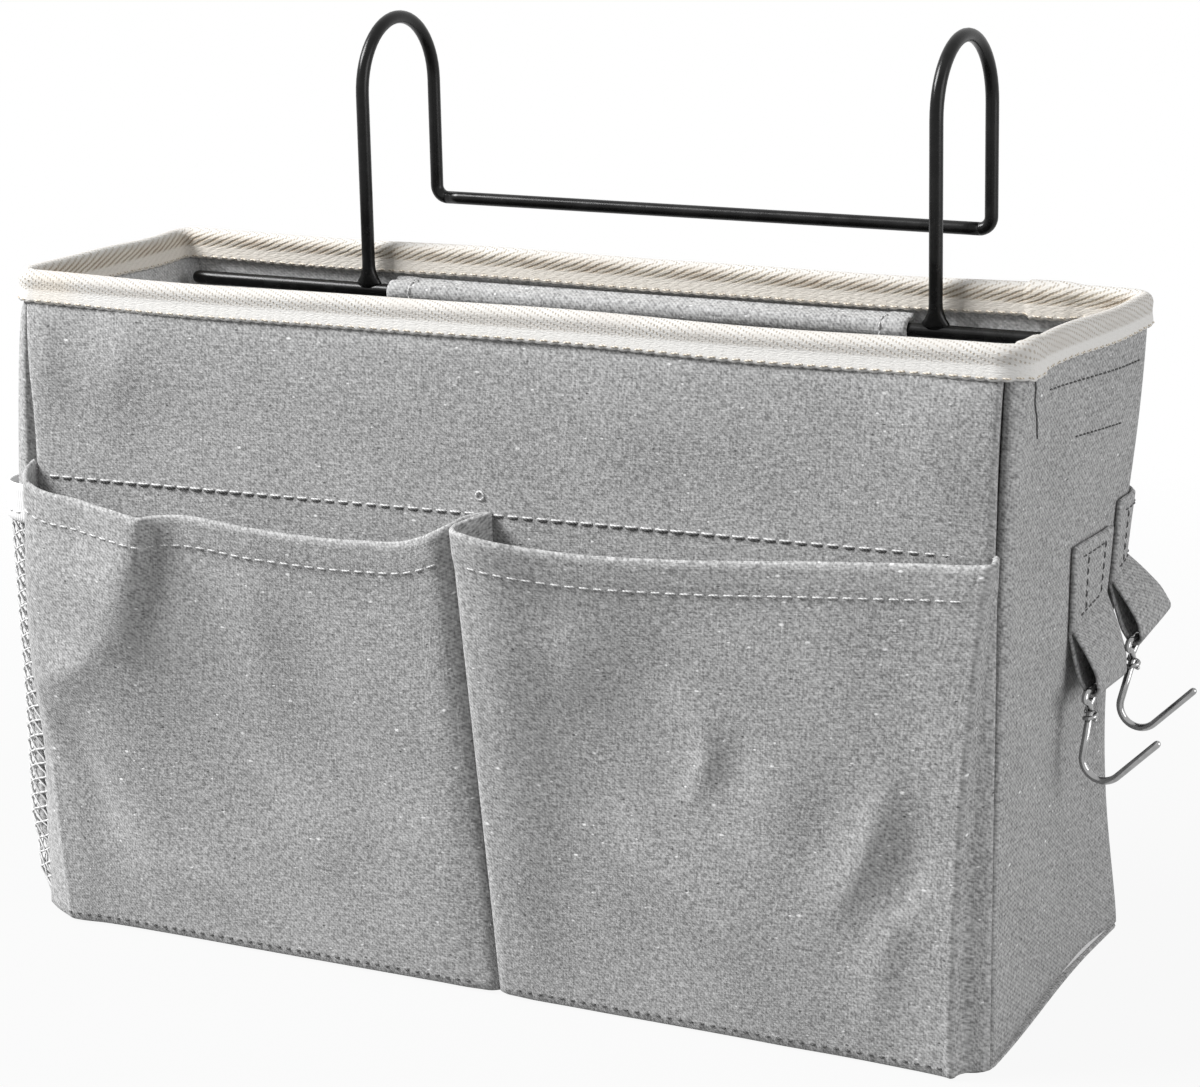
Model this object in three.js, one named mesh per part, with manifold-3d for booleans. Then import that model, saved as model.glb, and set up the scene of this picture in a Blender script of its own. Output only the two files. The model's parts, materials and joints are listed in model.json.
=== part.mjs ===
// Bedside caddy: a stiffened canvas bag that hangs from a bed rail on a welded wire hanger.
// Millimetres, +Z up, front towards -Y, key hooks on the right at +X, net pocket on the left.
// The origin is the middle of the base, on the surface the bag stands on.

import * as THREE from 'three';
import { TessellateModifier } from 'three/addons/modifiers/TessellateModifier.js';
import { mergeVertices } from 'three/addons/utils/BufferGeometryUtils.js';
import Module from 'manifold-3d';

const wasm = await Module();
wasm.setup();

// Bag, measured outside the canvas. It is wider at the rim and deeper at the base.
const RIM_WIDTH = 380;
const RIM_DEPTH = 104;
const BASE_WIDTH = 356;
const BASE_DEPTH = 148;
const BAG_HEIGHT = 230;
const CORNER_RADIUS = 8;

// Layers of the wall, and the gap kept wherever two sewn or touching pieces meet.
const CANVAS = 1.2;
const BOARD = 1.5;
const LINING = 0.8;
const GAP = 0.3;
const BOARD_EDGE = 10;

// Twill tape folded over the rim.
const TAPE = 1;
const TAPE_DROP = 11;

// Front pockets: wedge pouches that open at the top and are deepest beside the middle seam.
const POCKET_HEIGHT = 160;
const POCKET_MIDDLE_DEPTH = 24;
const LEFT_POCKET_END_DEPTH = 20;
const RIGHT_POCKET_END_DEPTH = 9;
const POCKET_FOOT_DEPTH = 5;
const POCKET_CLOTH = 1.2;
const POCKET_START = 1;
const POCKET_SEAM_MARGIN = 2;
const POCKET_SPLIT = 6;

// Net pocket on the left side, bowed outwards.
const NET_HEIGHT = 138;
const NET_START = 4;
const NET_BULGE = 15;
const NET_THICKNESS = 1.2;
const NET_EDGE_MARGIN = 3;
const NET_BORDER = 4;
const NET_PITCH_ACROSS = 10;
const NET_PITCH_UP = 13;
const NET_STRAND = 2;
const NET_GATHER = 35;
const HEM_HEIGHT = 12;
const HEM_THICKNESS = 2;

// Key hook straps on the right side: a sewn tab with a loop below it.
const STRAP_WIDTH = 26;
const STRAP_CLOTH = 1;
const STRAP_PITCH = 34;
const STRAP_EDGE_OVERLAP = 2;
const TAB_TOP_DROP = 74;
const REAR_TAB_RISE = 7;
const TAB_HEIGHT = 27;
const LOOP_LENGTH = 20;
const LOOP_SLIT_DROP = 3;
const FRONT_LOOP_SPLAY = 22;
const REAR_LOOP_SPLAY = 24;

// A slot through the fold leaves a neck at the strap's front edge, which carries the hook's eye.
const NECK_WIDTH = 5;
const SLOT_WIDTH = 7;
const SLOT_RISE = 6;

// Bent wire key hooks, each with a triangular eye held in the strap's fold.
const KEY_WIRE_RADIUS = 1.25;
const KEY_EYE_CLEARANCE = 0.4;
const KEY_EYE_HEIGHT = 7;
const KEY_EYE_SIDE_ROOM = 2;
const KEY_SHANK_LENGTH = 15.5;
const KEY_SHANK_LEAN = 4;
const KEY_BEND_RADIUS = 7;
const KEY_ARM_RISE = 44;
const KEY_ARM_LENGTH = 18.5;
const FRONT_KEY_TUCK = 8;
const REAR_KEY_TUCK = 14;

// Wire hanger. The support rod lies behind the flap and the uprights rise inside the back rim.
// The hooks and the flap sit a little to the right of the middle.
const ROD_RADIUS = 2.5;
const ROD_BELOW_TAPE = 5;
const ROD_END_ROOM = 4;
const WIRE_RADIUS = 2.4;
const HOOK_SPACING = 224;
const RAIL_OPENING = 47;
const HOOK_SHIFT = 7;
const HOOK_TOP_ABOVE_RIM = 84;
const REAR_BAR_ABOVE_RIM = 11;
const UPRIGHT_ROOM = 1.5;
const WELD_RADIUS = 4;
const WELD_HEIGHT = 7;

// Rod flap and its hook-and-loop fastening.
const FLAP_CLOTH = 1;
const FLAP_END_ROOM = 6;
const FLAP_ROD_CLEARANCE = 0.4;
const FASTENER_THICKNESS = 0.8;
const FASTENER_HEIGHT = 14;
const FASTENER_DROP = 20;
const FASTENER_INSET = 4;

// Fineness of the round surfaces.
const CORNER_STEPS = 4;
const WIRE_SIDES = 10;
const WIRE_STEP = 6;
const POCKET_FACET = 30;
const NET_FACET = 14;
const FACET_PASSES = 30;

const CANVAS_GREY = { color: 0x9b9a97, roughness: 0.95, metalness: 0 };
const LINING_GREY = { color: 0xa8a7a4, roughness: 0.95, metalness: 0 };
const TAPE_CREAM = { color: 0xe9e2d4, roughness: 0.9, metalness: 0 };
const BOARD_WHITE = { color: 0xdedede, roughness: 0.6, metalness: 0 };
const NET_WHITE = { color: 0xf2f2f0, roughness: 0.8, metalness: 0 };
const FASTENER_GREY = { color: 0x6f6f6f, roughness: 1, metalness: 0 };
const WIRE_BLACK = { color: 0x0b0b0c, roughness: 0.25, metalness: 0 };
const CHROME = { color: 0xd8d8da, roughness: 0.12, metalness: 1 };

const radians = THREE.MathUtils.degToRad;

// Sideways travel of the walls for each millimetre of height.
const SIDE_SLOPE = (RIM_WIDTH - BASE_WIDTH) / 2 / BAG_HEIGHT;
const FACE_SLOPE = (BASE_DEPTH - RIM_DEPTH) / 2 / BAG_HEIGHT;
const SIDE_LEAN = Math.atan(SIDE_SLOPE);
const FACE_LEAN = Math.atan(FACE_SLOPE);

// Depth of each layer below the outside of the canvas.
const BOARD_OUTSIDE = CANVAS + GAP;
const BOARD_INSIDE = BOARD_OUTSIDE + BOARD;
const LINING_OUTSIDE_SIDE = CANVAS + GAP;
const LINING_INSIDE_SIDE = LINING_OUTSIDE_SIDE + LINING;
const LINING_OUTSIDE_FACE = BOARD_INSIDE + GAP;
const LINING_INSIDE_FACE = LINING_OUTSIDE_FACE + LINING;
const TAPE_INSIDE_SIDE = LINING_INSIDE_SIDE + GAP + TAPE;
const TAPE_INSIDE_FACE = LINING_INSIDE_FACE + GAP + TAPE;

const halfWidthAt = (z) => BASE_WIDTH / 2 + SIDE_SLOPE * z;
const halfDepthAt = (z) => BASE_DEPTH / 2 - FACE_SLOPE * z;

function toManifold(geometry) {
  const bare = new THREE.BufferGeometry();
  bare.setAttribute('position', geometry.getAttribute('position'));
  bare.setIndex(geometry.index);
  const merged = mergeVertices(bare);
  return new wasm.Manifold(new wasm.Mesh({
    numProp: 3,
    vertProperties: merged.getAttribute('position').array,
    triVerts: new Uint32Array(merged.index.array),
  }));
}

function toGeometry(manifold) {
  const mesh = manifold.getMesh();
  const geometry = new THREE.BufferGeometry();
  geometry.setAttribute('position', new THREE.BufferAttribute(mesh.vertProperties, 3));
  geometry.setIndex(new THREE.BufferAttribute(mesh.triVerts, 1));
  geometry.computeVertexNormals();
  return geometry;
}

function join(...geometries) {
  return toGeometry(geometries.map(toManifold).reduce((all, next) => all.add(next)));
}

function cut(geometry, tool) {
  return toGeometry(toManifold(geometry).subtract(toManifold(tool)));
}

function overlapOf(first, second) {
  return toGeometry(toManifold(first).intersect(toManifold(second)));
}

function mapVertices(geometry, move) {
  const positions = geometry.getAttribute('position');
  const point = new THREE.Vector3();
  for (let i = 0; i < positions.count; i += 1) {
    point.fromBufferAttribute(positions, i);
    move(point);
    positions.setXYZ(i, point.x, point.y, point.z);
  }
  return geometry;
}

// The same surface with no edge longer than the given length, so that it can be bent.
function refined(geometry, longest) {
  return new TessellateModifier(longest, FACET_PASSES).modify(geometry);
}

function mesh(name, geometry, look) {
  const made = new THREE.Mesh(geometry, new THREE.MeshStandardMaterial(look));
  made.name = name;
  return made;
}

function polygon(corners) {
  return new THREE.Shape(corners.map(([x, y]) => new THREE.Vector2(x, y)));
}

function extrude(shape, depth, curveSegments = CORNER_STEPS) {
  return new THREE.ExtrudeGeometry(shape, { depth, bevelEnabled: false, curveSegments });
}

// A block that is drawn at the base and follows the lean of all four walls up to the rim.
function leaning(shape, low, high) {
  const block = extrude(shape, high - low);
  block.translate(0, 0, low);
  return mapVertices(block, (point) => {
    point.x += Math.sign(point.x) * SIDE_SLOPE * point.z;
    point.y -= Math.sign(point.y) * FACE_SLOPE * point.z;
  });
}

function rectangle(x0, x1, y0, y1) {
  return polygon([[x0, y0], [x1, y0], [x1, y1], [x0, y1]]);
}

function roundedRectangle(halfX, halfY, radius) {
  const x = halfX - radius;
  const y = halfY - radius;
  const shape = new THREE.Shape();
  shape.absarc(x, -y, radius, -Math.PI / 2, 0);
  shape.absarc(x, y, radius, 0, Math.PI / 2);
  shape.absarc(-x, y, radius, Math.PI / 2, Math.PI);
  shape.absarc(-x, -y, radius, Math.PI, Math.PI * 1.5);
  return shape;
}

// The whole bag as a solid, drawn in from the outside of the canvas at the sides and at the faces.
function bagBlock(sideInset, faceInset, low, high) {
  const radius = Math.max(CORNER_RADIUS - sideInset, GAP);
  const outline = roundedRectangle(BASE_WIDTH / 2 - sideInset, BASE_DEPTH / 2 - faceInset, radius);
  return leaning(outline, low, high);
}

// Bag shell: canvas panels, boards, lining and rim binding.
const WALL_START = CANVAS + GAP;
const BEYOND = 20;

function addShell(bag) {
  const ring = cut(
    bagBlock(0, 0, WALL_START, BAG_HEIGHT),
    bagBlock(CANVAS, CANVAS, 0, BAG_HEIGHT + BEYOND),
  );
  const seam = BASE_WIDTH / 2 - CORNER_RADIUS;
  const faceHalf = seam - GAP / 2;
  const sideStart = seam + GAP / 2;
  const panel = (shape) => overlapOf(ring, leaning(shape, 0, BAG_HEIGHT + BEYOND));
  bag.add(mesh('front_panel', panel(rectangle(-faceHalf, faceHalf, -BASE_DEPTH, -GAP)), CANVAS_GREY));
  bag.add(mesh('back_panel', panel(rectangle(-faceHalf, faceHalf, GAP, BASE_DEPTH)), CANVAS_GREY));
  const leftCut = rectangle(-BASE_WIDTH, -sideStart, -BASE_DEPTH, BASE_DEPTH);
  const rightCut = rectangle(sideStart, BASE_WIDTH, -BASE_DEPTH, BASE_DEPTH);
  bag.add(mesh('left_side_panel', panel(leftCut), CANVAS_GREY));
  bag.add(mesh('right_side_panel', panel(rightCut), CANVAS_GREY));
  bag.add(mesh('base_panel', bagBlock(0, 0, 0, CANVAS), CANVAS_GREY));

  const boardHalf = seam - BOARD_EDGE;
  const boardOut = BASE_DEPTH / 2 - BOARD_OUTSIDE;
  const boardIn = BASE_DEPTH / 2 - BOARD_INSIDE;
  const baseBoardTop = BOARD_OUTSIDE + BOARD;
  const boardStart = baseBoardTop + GAP;
  const frontBoard = leaning(rectangle(-boardHalf, boardHalf, -boardOut, -boardIn), boardStart, BAG_HEIGHT);
  const backBoard = leaning(rectangle(-boardHalf, boardHalf, boardIn, boardOut), boardStart, BAG_HEIGHT);
  bag.add(mesh('front_board', frontBoard, BOARD_WHITE));
  bag.add(mesh('back_board', backBoard, BOARD_WHITE));
  bag.add(mesh('base_board', bagBlock(BOARD_OUTSIDE, BOARD_OUTSIDE, BOARD_OUTSIDE, baseBoardTop), BOARD_WHITE));

  const lining = cut(
    bagBlock(LINING_OUTSIDE_SIDE, LINING_OUTSIDE_FACE, boardStart, BAG_HEIGHT),
    bagBlock(LINING_INSIDE_SIDE, LINING_INSIDE_FACE, boardStart + LINING, BAG_HEIGHT + BEYOND),
  );
  bag.add(mesh('lining', lining, LINING_GREY));

  const tapeLow = BAG_HEIGHT - TAPE_DROP;
  const tapeRoof = BAG_HEIGHT + GAP;
  const slot = cut(
    bagBlock(-GAP, -GAP, tapeLow - BEYOND, tapeRoof),
    bagBlock(LINING_INSIDE_SIDE + GAP, LINING_INSIDE_FACE + GAP, tapeLow - 2 * BEYOND, tapeRoof + BEYOND),
  );
  const band = cut(
    bagBlock(-GAP - TAPE, -GAP - TAPE, tapeLow, tapeRoof + TAPE),
    bagBlock(TAPE_INSIDE_SIDE, TAPE_INSIDE_FACE, tapeLow - BEYOND, tapeRoof + BEYOND),
  );
  bag.add(mesh('rim_binding', cut(band, slot), TAPE_CREAM));
}

// A flat frame on the outside of a wall: X runs along it, Y up its slope and Z out of it.
function wallFrame(bag, turn, distance, lean) {
  const facing = new THREE.Group();
  facing.rotation.z = radians(turn);
  const frame = new THREE.Group();
  frame.position.y = -distance;
  frame.rotation.x = Math.PI / 2 - lean;
  facing.add(frame);
  bag.add(facing);
  return frame;
}

// Front pockets: each a wedge with its back left open against the front panel, drawn for the right.
function pocket(endDepth) {
  const inner = POCKET_SPLIT / 2;
  const outerAt = (y) => halfWidthAt(y * Math.cos(FACE_LEAN)) - CORNER_RADIUS - POCKET_SEAM_MARGIN;
  const depthAt = (x, y) => {
    const across = (x - inner) / (outerAt(y) - inner);
    const mouth = POCKET_MIDDLE_DEPTH + (endDepth - POCKET_MIDDLE_DEPTH) * across;
    return POCKET_FOOT_DEPTH + (mouth - POCKET_FOOT_DEPTH) * (y - POCKET_START) / POCKET_HEIGHT;
  };
  const wedge = (inset, low, high, back) => {
    const outline = polygon([
      [inner + inset, low],
      [outerAt(low) - inset, low],
      [outerAt(high) - inset, high],
      [inner + inset, high],
    ]);
    return mapVertices(refined(extrude(outline, 1), POCKET_FACET), (point) => {
      point.z = point.z > 0 ? depthAt(point.x, point.y) - inset : back;
    });
  };
  const top = POCKET_START + POCKET_HEIGHT;
  return cut(
    wedge(0, POCKET_START, top, GAP),
    wedge(POCKET_CLOTH, POCKET_START + POCKET_CLOTH, top + BEYOND, -BEYOND),
  );
}

function addPockets(bag) {
  const frame = wallFrame(bag, 0, BASE_DEPTH / 2, FACE_LEAN);
  frame.add(mesh('right_pocket', pocket(RIGHT_POCKET_END_DEPTH), CANVAS_GREY));
  const left = pocket(LEFT_POCKET_END_DEPTH).scale(-1, 1, 1);
  left.setIndex([...left.index.array].reverse());
  frame.add(mesh('left_pocket', left, CANVAS_GREY));
}

// Net pocket: a plate with diamond gaps, bowed out from the side panel and gathered at its foot.
const netHalfAt = (y) => halfDepthAt(y * Math.cos(SIDE_LEAN)) - CORNER_RADIUS - NET_EDGE_MARGIN;

function bowed(plate) {
  return mapVertices(refined(plate, NET_FACET), (point) => {
    const across = point.x / netHalfAt(point.y);
    const rise = Math.min((point.y - NET_START) / NET_GATHER, 1);
    const gather = Math.sin(rise * Math.PI / 2);
    point.z += GAP + NET_BULGE * gather * Math.max(1 - across * across, 0);
  });
}

function diamond(x, y) {
  const halfAcross = (NET_PITCH_ACROSS - NET_STRAND) / 2;
  const halfUp = (NET_PITCH_UP - NET_STRAND) / 2;
  return new THREE.Path([
    new THREE.Vector2(x - halfAcross, y),
    new THREE.Vector2(x, y - halfUp),
    new THREE.Vector2(x + halfAcross, y),
    new THREE.Vector2(x, y + halfUp),
  ]);
}

function netPlate(low, high) {
  return polygon([
    [-netHalfAt(low), low],
    [netHalfAt(low), low],
    [netHalfAt(high), high],
    [-netHalfAt(high), high],
  ]);
}

function addNetPocket(bag) {
  const frame = wallFrame(bag, -90, BASE_WIDTH / 2, -SIDE_LEAN);
  const top = NET_START + NET_HEIGHT;
  const net = netPlate(NET_START, top);
  const halfUp = NET_PITCH_UP / 2;
  const rows = Math.floor((NET_HEIGHT - 2 * NET_BORDER) / halfUp) - 1;
  for (let row = 1; row <= rows; row += 1) {
    const y = NET_START + NET_BORDER + row * halfUp;
    const reach = netHalfAt(y + halfUp) - NET_BORDER - NET_PITCH_ACROSS / 2;
    const shift = row % 2 === 0 ? NET_PITCH_ACROSS / 2 : 0;
    const count = Math.floor((reach - shift) / NET_PITCH_ACROSS);
    for (let column = -count - (shift > 0 ? 1 : 0); column <= count; column += 1) {
      net.holes.push(diamond(shift + column * NET_PITCH_ACROSS, y));
    }
  }
  frame.add(mesh('net_pocket', bowed(extrude(net, NET_THICKNESS)), NET_WHITE));
  const hem = extrude(netPlate(top + GAP, top + HEM_HEIGHT), HEM_THICKNESS);
  frame.add(mesh('net_pocket_hem', bowed(hem), CANVAS_GREY));
}

// A wire path of straight runs and circular bends, drawn in the YZ plane.
class BentWire extends THREE.Curve {
  constructor(heading, moves) {
    super();
    this.heading = heading;
    this.moves = moves;
    this.total = moves.reduce((sum, move) => sum + this.lengthOf(move), 0);
  }

  lengthOf(move) {
    return move.run ?? Math.abs(move.bend) * move.radius;
  }

  getPoint(share, target = new THREE.Vector3()) {
    let left = share * this.total;
    let heading = this.heading;
    let y = 0;
    let z = 0;
    for (const move of this.moves) {
      const length = this.lengthOf(move);
      const part = Math.min(left, length);
      if (move.run !== undefined) {
        y += part * Math.cos(heading);
        z += part * Math.sin(heading);
      } else {
        const side = Math.sign(move.bend);
        const next = heading + side * part / move.radius;
        y += side * move.radius * (Math.sin(next) - Math.sin(heading));
        z -= side * move.radius * (Math.cos(next) - Math.cos(heading));
        heading = next;
      }
      left -= part;
    }
    return target.set(0, y, z);
  }
}

function circle(radius) {
  const shape = new THREE.Shape();
  shape.absarc(0, 0, radius, 0, Math.PI * 2);
  return shape;
}

function sweep(path, radius) {
  return new THREE.ExtrudeGeometry(circle(radius), {
    steps: Math.ceil(path.total / WIRE_STEP),
    extrudePath: path,
    curveSegments: WIRE_SIDES / 2,
    bevelEnabled: false,
  });
}

function straightWire(from, to, radius) {
  const along = new THREE.Vector3().subVectors(to, from);
  const wire = new THREE.CylinderGeometry(radius, radius, along.length(), WIRE_SIDES);
  const turn = new THREE.Quaternion().setFromUnitVectors(new THREE.Vector3(0, 1, 0), along.normalize());
  wire.applyQuaternion(turn);
  const middle = new THREE.Vector3().addVectors(from, to).multiplyScalar(0.5);
  return wire.translate(middle.x, middle.y, middle.z);
}

function ball(center, radius) {
  const sphere = new THREE.SphereGeometry(radius, WIRE_SIDES, WIRE_SIDES / 2);
  return sphere.translate(center.x, center.y, center.z);
}

// Strap loop: two layers that part around the hook's eye, with the slot that leaves its neck.
const FOLD_INSIDE = KEY_WIRE_RADIUS + KEY_EYE_CLEARANCE;
const FOLD_OUTSIDE = FOLD_INSIDE + STRAP_CLOTH;

function strapLoop() {
  const outline = new THREE.Shape();
  outline.moveTo(-STRAP_CLOTH, -GAP);
  outline.lineTo(-FOLD_OUTSIDE, -LOOP_LENGTH);
  outline.absarc(0, -LOOP_LENGTH, FOLD_OUTSIDE, Math.PI, Math.PI * 2);
  outline.lineTo(STRAP_CLOTH, -GAP);
  const opening = new THREE.Path();
  opening.moveTo(0, -LOOP_SLIT_DROP);
  opening.lineTo(-FOLD_INSIDE, -LOOP_LENGTH);
  opening.absarc(0, -LOOP_LENGTH, FOLD_INSIDE, Math.PI, Math.PI * 2);
  outline.holes.push(opening);
  const band = extrude(outline, STRAP_WIDTH);
  band.rotateY(-Math.PI / 2);
  band.translate(STRAP_WIDTH / 2, 0, 0);
  const slotStart = NECK_WIDTH - STRAP_WIDTH / 2;
  const slotFoot = -LOOP_LENGTH - 2 * FOLD_OUTSIDE;
  const slotTop = SLOT_RISE - LOOP_LENGTH;
  const slot = extrude(rectangle(slotStart, slotStart + SLOT_WIDTH, slotFoot, slotTop), 4 * FOLD_OUTSIDE);
  slot.translate(0, 0, -2 * FOLD_OUTSIDE);
  return cut(band, slot);
}

// Key hook, drawn from its pivot in the strap's fold: X along the fold, Y up and Z out of the wall.
function keyHook() {
  // The eye's slanting sides pass the corners of the fold with the side room.
  const eyeHalf = (NECK_WIDTH / 2 + KEY_EYE_SIDE_ROOM) * KEY_EYE_HEIGHT / (KEY_EYE_HEIGHT - FOLD_OUTSIDE);
  const left = new THREE.Vector3(-eyeHalf, 0, 0);
  const right = new THREE.Vector3(eyeHalf, 0, 0);
  const foot = new THREE.Vector3(0, -KEY_EYE_HEIGHT, 0);
  const down = -Math.PI / 2 - radians(KEY_SHANK_LEAN);
  const bend = Math.PI / 2 + radians(KEY_SHANK_LEAN + KEY_ARM_RISE);
  const path = new BentWire(down, [
    { run: KEY_SHANK_LENGTH },
    { bend, radius: KEY_BEND_RADIUS },
    { run: KEY_ARM_LENGTH },
  ]);
  const hook = sweep(path, KEY_WIRE_RADIUS);
  // The path is drawn with Y out of the wall and Z up, so the two are exchanged.
  mapVertices(hook, (point) => point.set(-point.x, point.z, point.y));
  hook.translate(0, -KEY_EYE_HEIGHT, 0);
  const tip = path.getPoint(1);
  return join(
    straightWire(left, right, KEY_WIRE_RADIUS),
    straightWire(left, foot, KEY_WIRE_RADIUS),
    straightWire(right, foot, KEY_WIRE_RADIUS),
    ball(left, KEY_WIRE_RADIUS),
    ball(right, KEY_WIRE_RADIUS),
    ball(foot, KEY_WIRE_RADIUS),
    hook,
    ball(new THREE.Vector3(0, tip.z - KEY_EYE_HEIGHT, tip.y), KEY_WIRE_RADIUS),
  );
}

function addStrap(frame, place, across, top, splay, tuck) {
  const foot = top - TAB_HEIGHT;
  const tabShape = rectangle(across - STRAP_WIDTH / 2, across + STRAP_WIDTH / 2, foot, top);
  const tab = extrude(tabShape, 2 * STRAP_CLOTH);
  tab.translate(0, 0, GAP);
  frame.add(mesh(`${place}_strap_tab`, tab, CANVAS_GREY));

  // The loop bends at the tab's outer face, so that swinging outwards opens its joint.
  const loop = new THREE.Group();
  loop.position.set(across, foot, GAP + 2 * STRAP_CLOTH);
  loop.rotation.x = -radians(splay);
  const loopMesh = mesh(`${place}_strap_loop`, strapLoop(), CANVAS_GREY);
  loopMesh.position.z = -STRAP_CLOTH;
  loop.add(loopMesh);

  const hook = new THREE.Group();
  hook.position.set((NECK_WIDTH - STRAP_WIDTH) / 2, -LOOP_LENGTH, -STRAP_CLOTH);
  hook.rotation.x = radians(splay + tuck);
  hook.add(mesh(`${place}_key_hook`, keyHook(), CHROME));
  loop.add(hook);
  frame.add(loop);
}

function addStraps(bag) {
  const frame = wallFrame(bag, 90, BASE_WIDTH / 2, -SIDE_LEAN);
  const frontTop = (BAG_HEIGHT - TAB_TOP_DROP) / Math.cos(SIDE_LEAN);
  const rearTop = frontTop + REAR_TAB_RISE;
  const flatHalf = halfDepthAt(rearTop * Math.cos(SIDE_LEAN)) - CORNER_RADIUS;
  const rear = flatHalf + STRAP_EDGE_OVERLAP - STRAP_WIDTH / 2;
  addStrap(frame, 'front', rear - STRAP_PITCH, frontTop, FRONT_LOOP_SPLAY, FRONT_KEY_TUCK);
  addStrap(frame, 'rear', rear, rearTop, REAR_LOOP_SPLAY, REAR_KEY_TUCK);
}

// Hanger, drawn from the axis of its support rod.
const ROD_HEIGHT = BAG_HEIGHT - TAPE_DROP - ROD_BELOW_TAPE;
const ROD_BACK = halfDepthAt(BAG_HEIGHT) - TAPE_INSIDE_FACE - UPRIGHT_ROOM - WIRE_RADIUS;

function hangerHook(outward) {
  const bendRadius = RAIL_OPENING / 2 + WIRE_RADIUS;
  const spring = BAG_HEIGHT + HOOK_TOP_ABOVE_RIM - WIRE_RADIUS - bendRadius - ROD_HEIGHT;
  const barHeight = BAG_HEIGHT + REAR_BAR_ABOVE_RIM - ROD_HEIGHT;
  const wire = sweep(new BentWire(Math.PI / 2, [
    { run: spring },
    { bend: -Math.PI, radius: bendRadius },
    { run: spring - barHeight + WIRE_RADIUS },
  ]), WIRE_RADIUS);
  const weld = new THREE.CylinderGeometry(WIRE_RADIUS, WELD_RADIUS, WELD_HEIGHT, WIRE_SIDES);
  weld.rotateX(Math.PI / 2);
  weld.translate(0, 0, WELD_HEIGHT / 2);
  const room = straightWire(
    new THREE.Vector3(-BEYOND, 0, 0),
    new THREE.Vector3(BEYOND, 0, 0),
    ROD_RADIUS + GAP,
  );
  const hook = cut(join(wire, weld), room);
  return hook.translate(HOOK_SHIFT + outward * HOOK_SPACING / 2, 0, 0);
}

function addHanger(bag) {
  const hanger = new THREE.Group();
  hanger.position.set(0, ROD_BACK, ROD_HEIGHT);
  const rodHalf = halfWidthAt(ROD_HEIGHT) - LINING_INSIDE_SIDE - ROD_END_ROOM;
  const rod = straightWire(
    new THREE.Vector3(-rodHalf, 0, 0),
    new THREE.Vector3(rodHalf, 0, 0),
    ROD_RADIUS,
  );
  hanger.add(mesh('support_rod', rod, WIRE_BLACK));
  hanger.add(mesh('left_hanger_hook', hangerHook(-1), WIRE_BLACK));
  hanger.add(mesh('right_hanger_hook', hangerHook(1), WIRE_BLACK));
  const barHalf = HOOK_SPACING / 2 - WIRE_RADIUS - GAP;
  const barBack = RAIL_OPENING + 2 * WIRE_RADIUS;
  const barHeight = BAG_HEIGHT + REAR_BAR_ABOVE_RIM - ROD_HEIGHT;
  const bar = straightWire(
    new THREE.Vector3(HOOK_SHIFT - barHalf, barBack, barHeight),
    new THREE.Vector3(HOOK_SHIFT + barHalf, barBack, barHeight),
    WIRE_RADIUS,
  );
  hanger.add(mesh('rear_bar', bar, WIRE_BLACK));
  bag.add(hanger);
}

// A strip of even thickness along a line of points, as a closed outline.
function ribbon(points, thickness) {
  const sides = [1, -1].map((side) => points.map((point, i) => {
    const before = points[Math.max(i - 1, 0)];
    const after = points[Math.min(i + 1, points.length - 1)];
    const along = new THREE.Vector2().subVectors(after, before).normalize();
    return new THREE.Vector2(-along.y, along.x).multiplyScalar(side * thickness / 2).add(point);
  }));
  return new THREE.Shape([...sides[0], ...sides[1].reverse()]);
}

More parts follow.
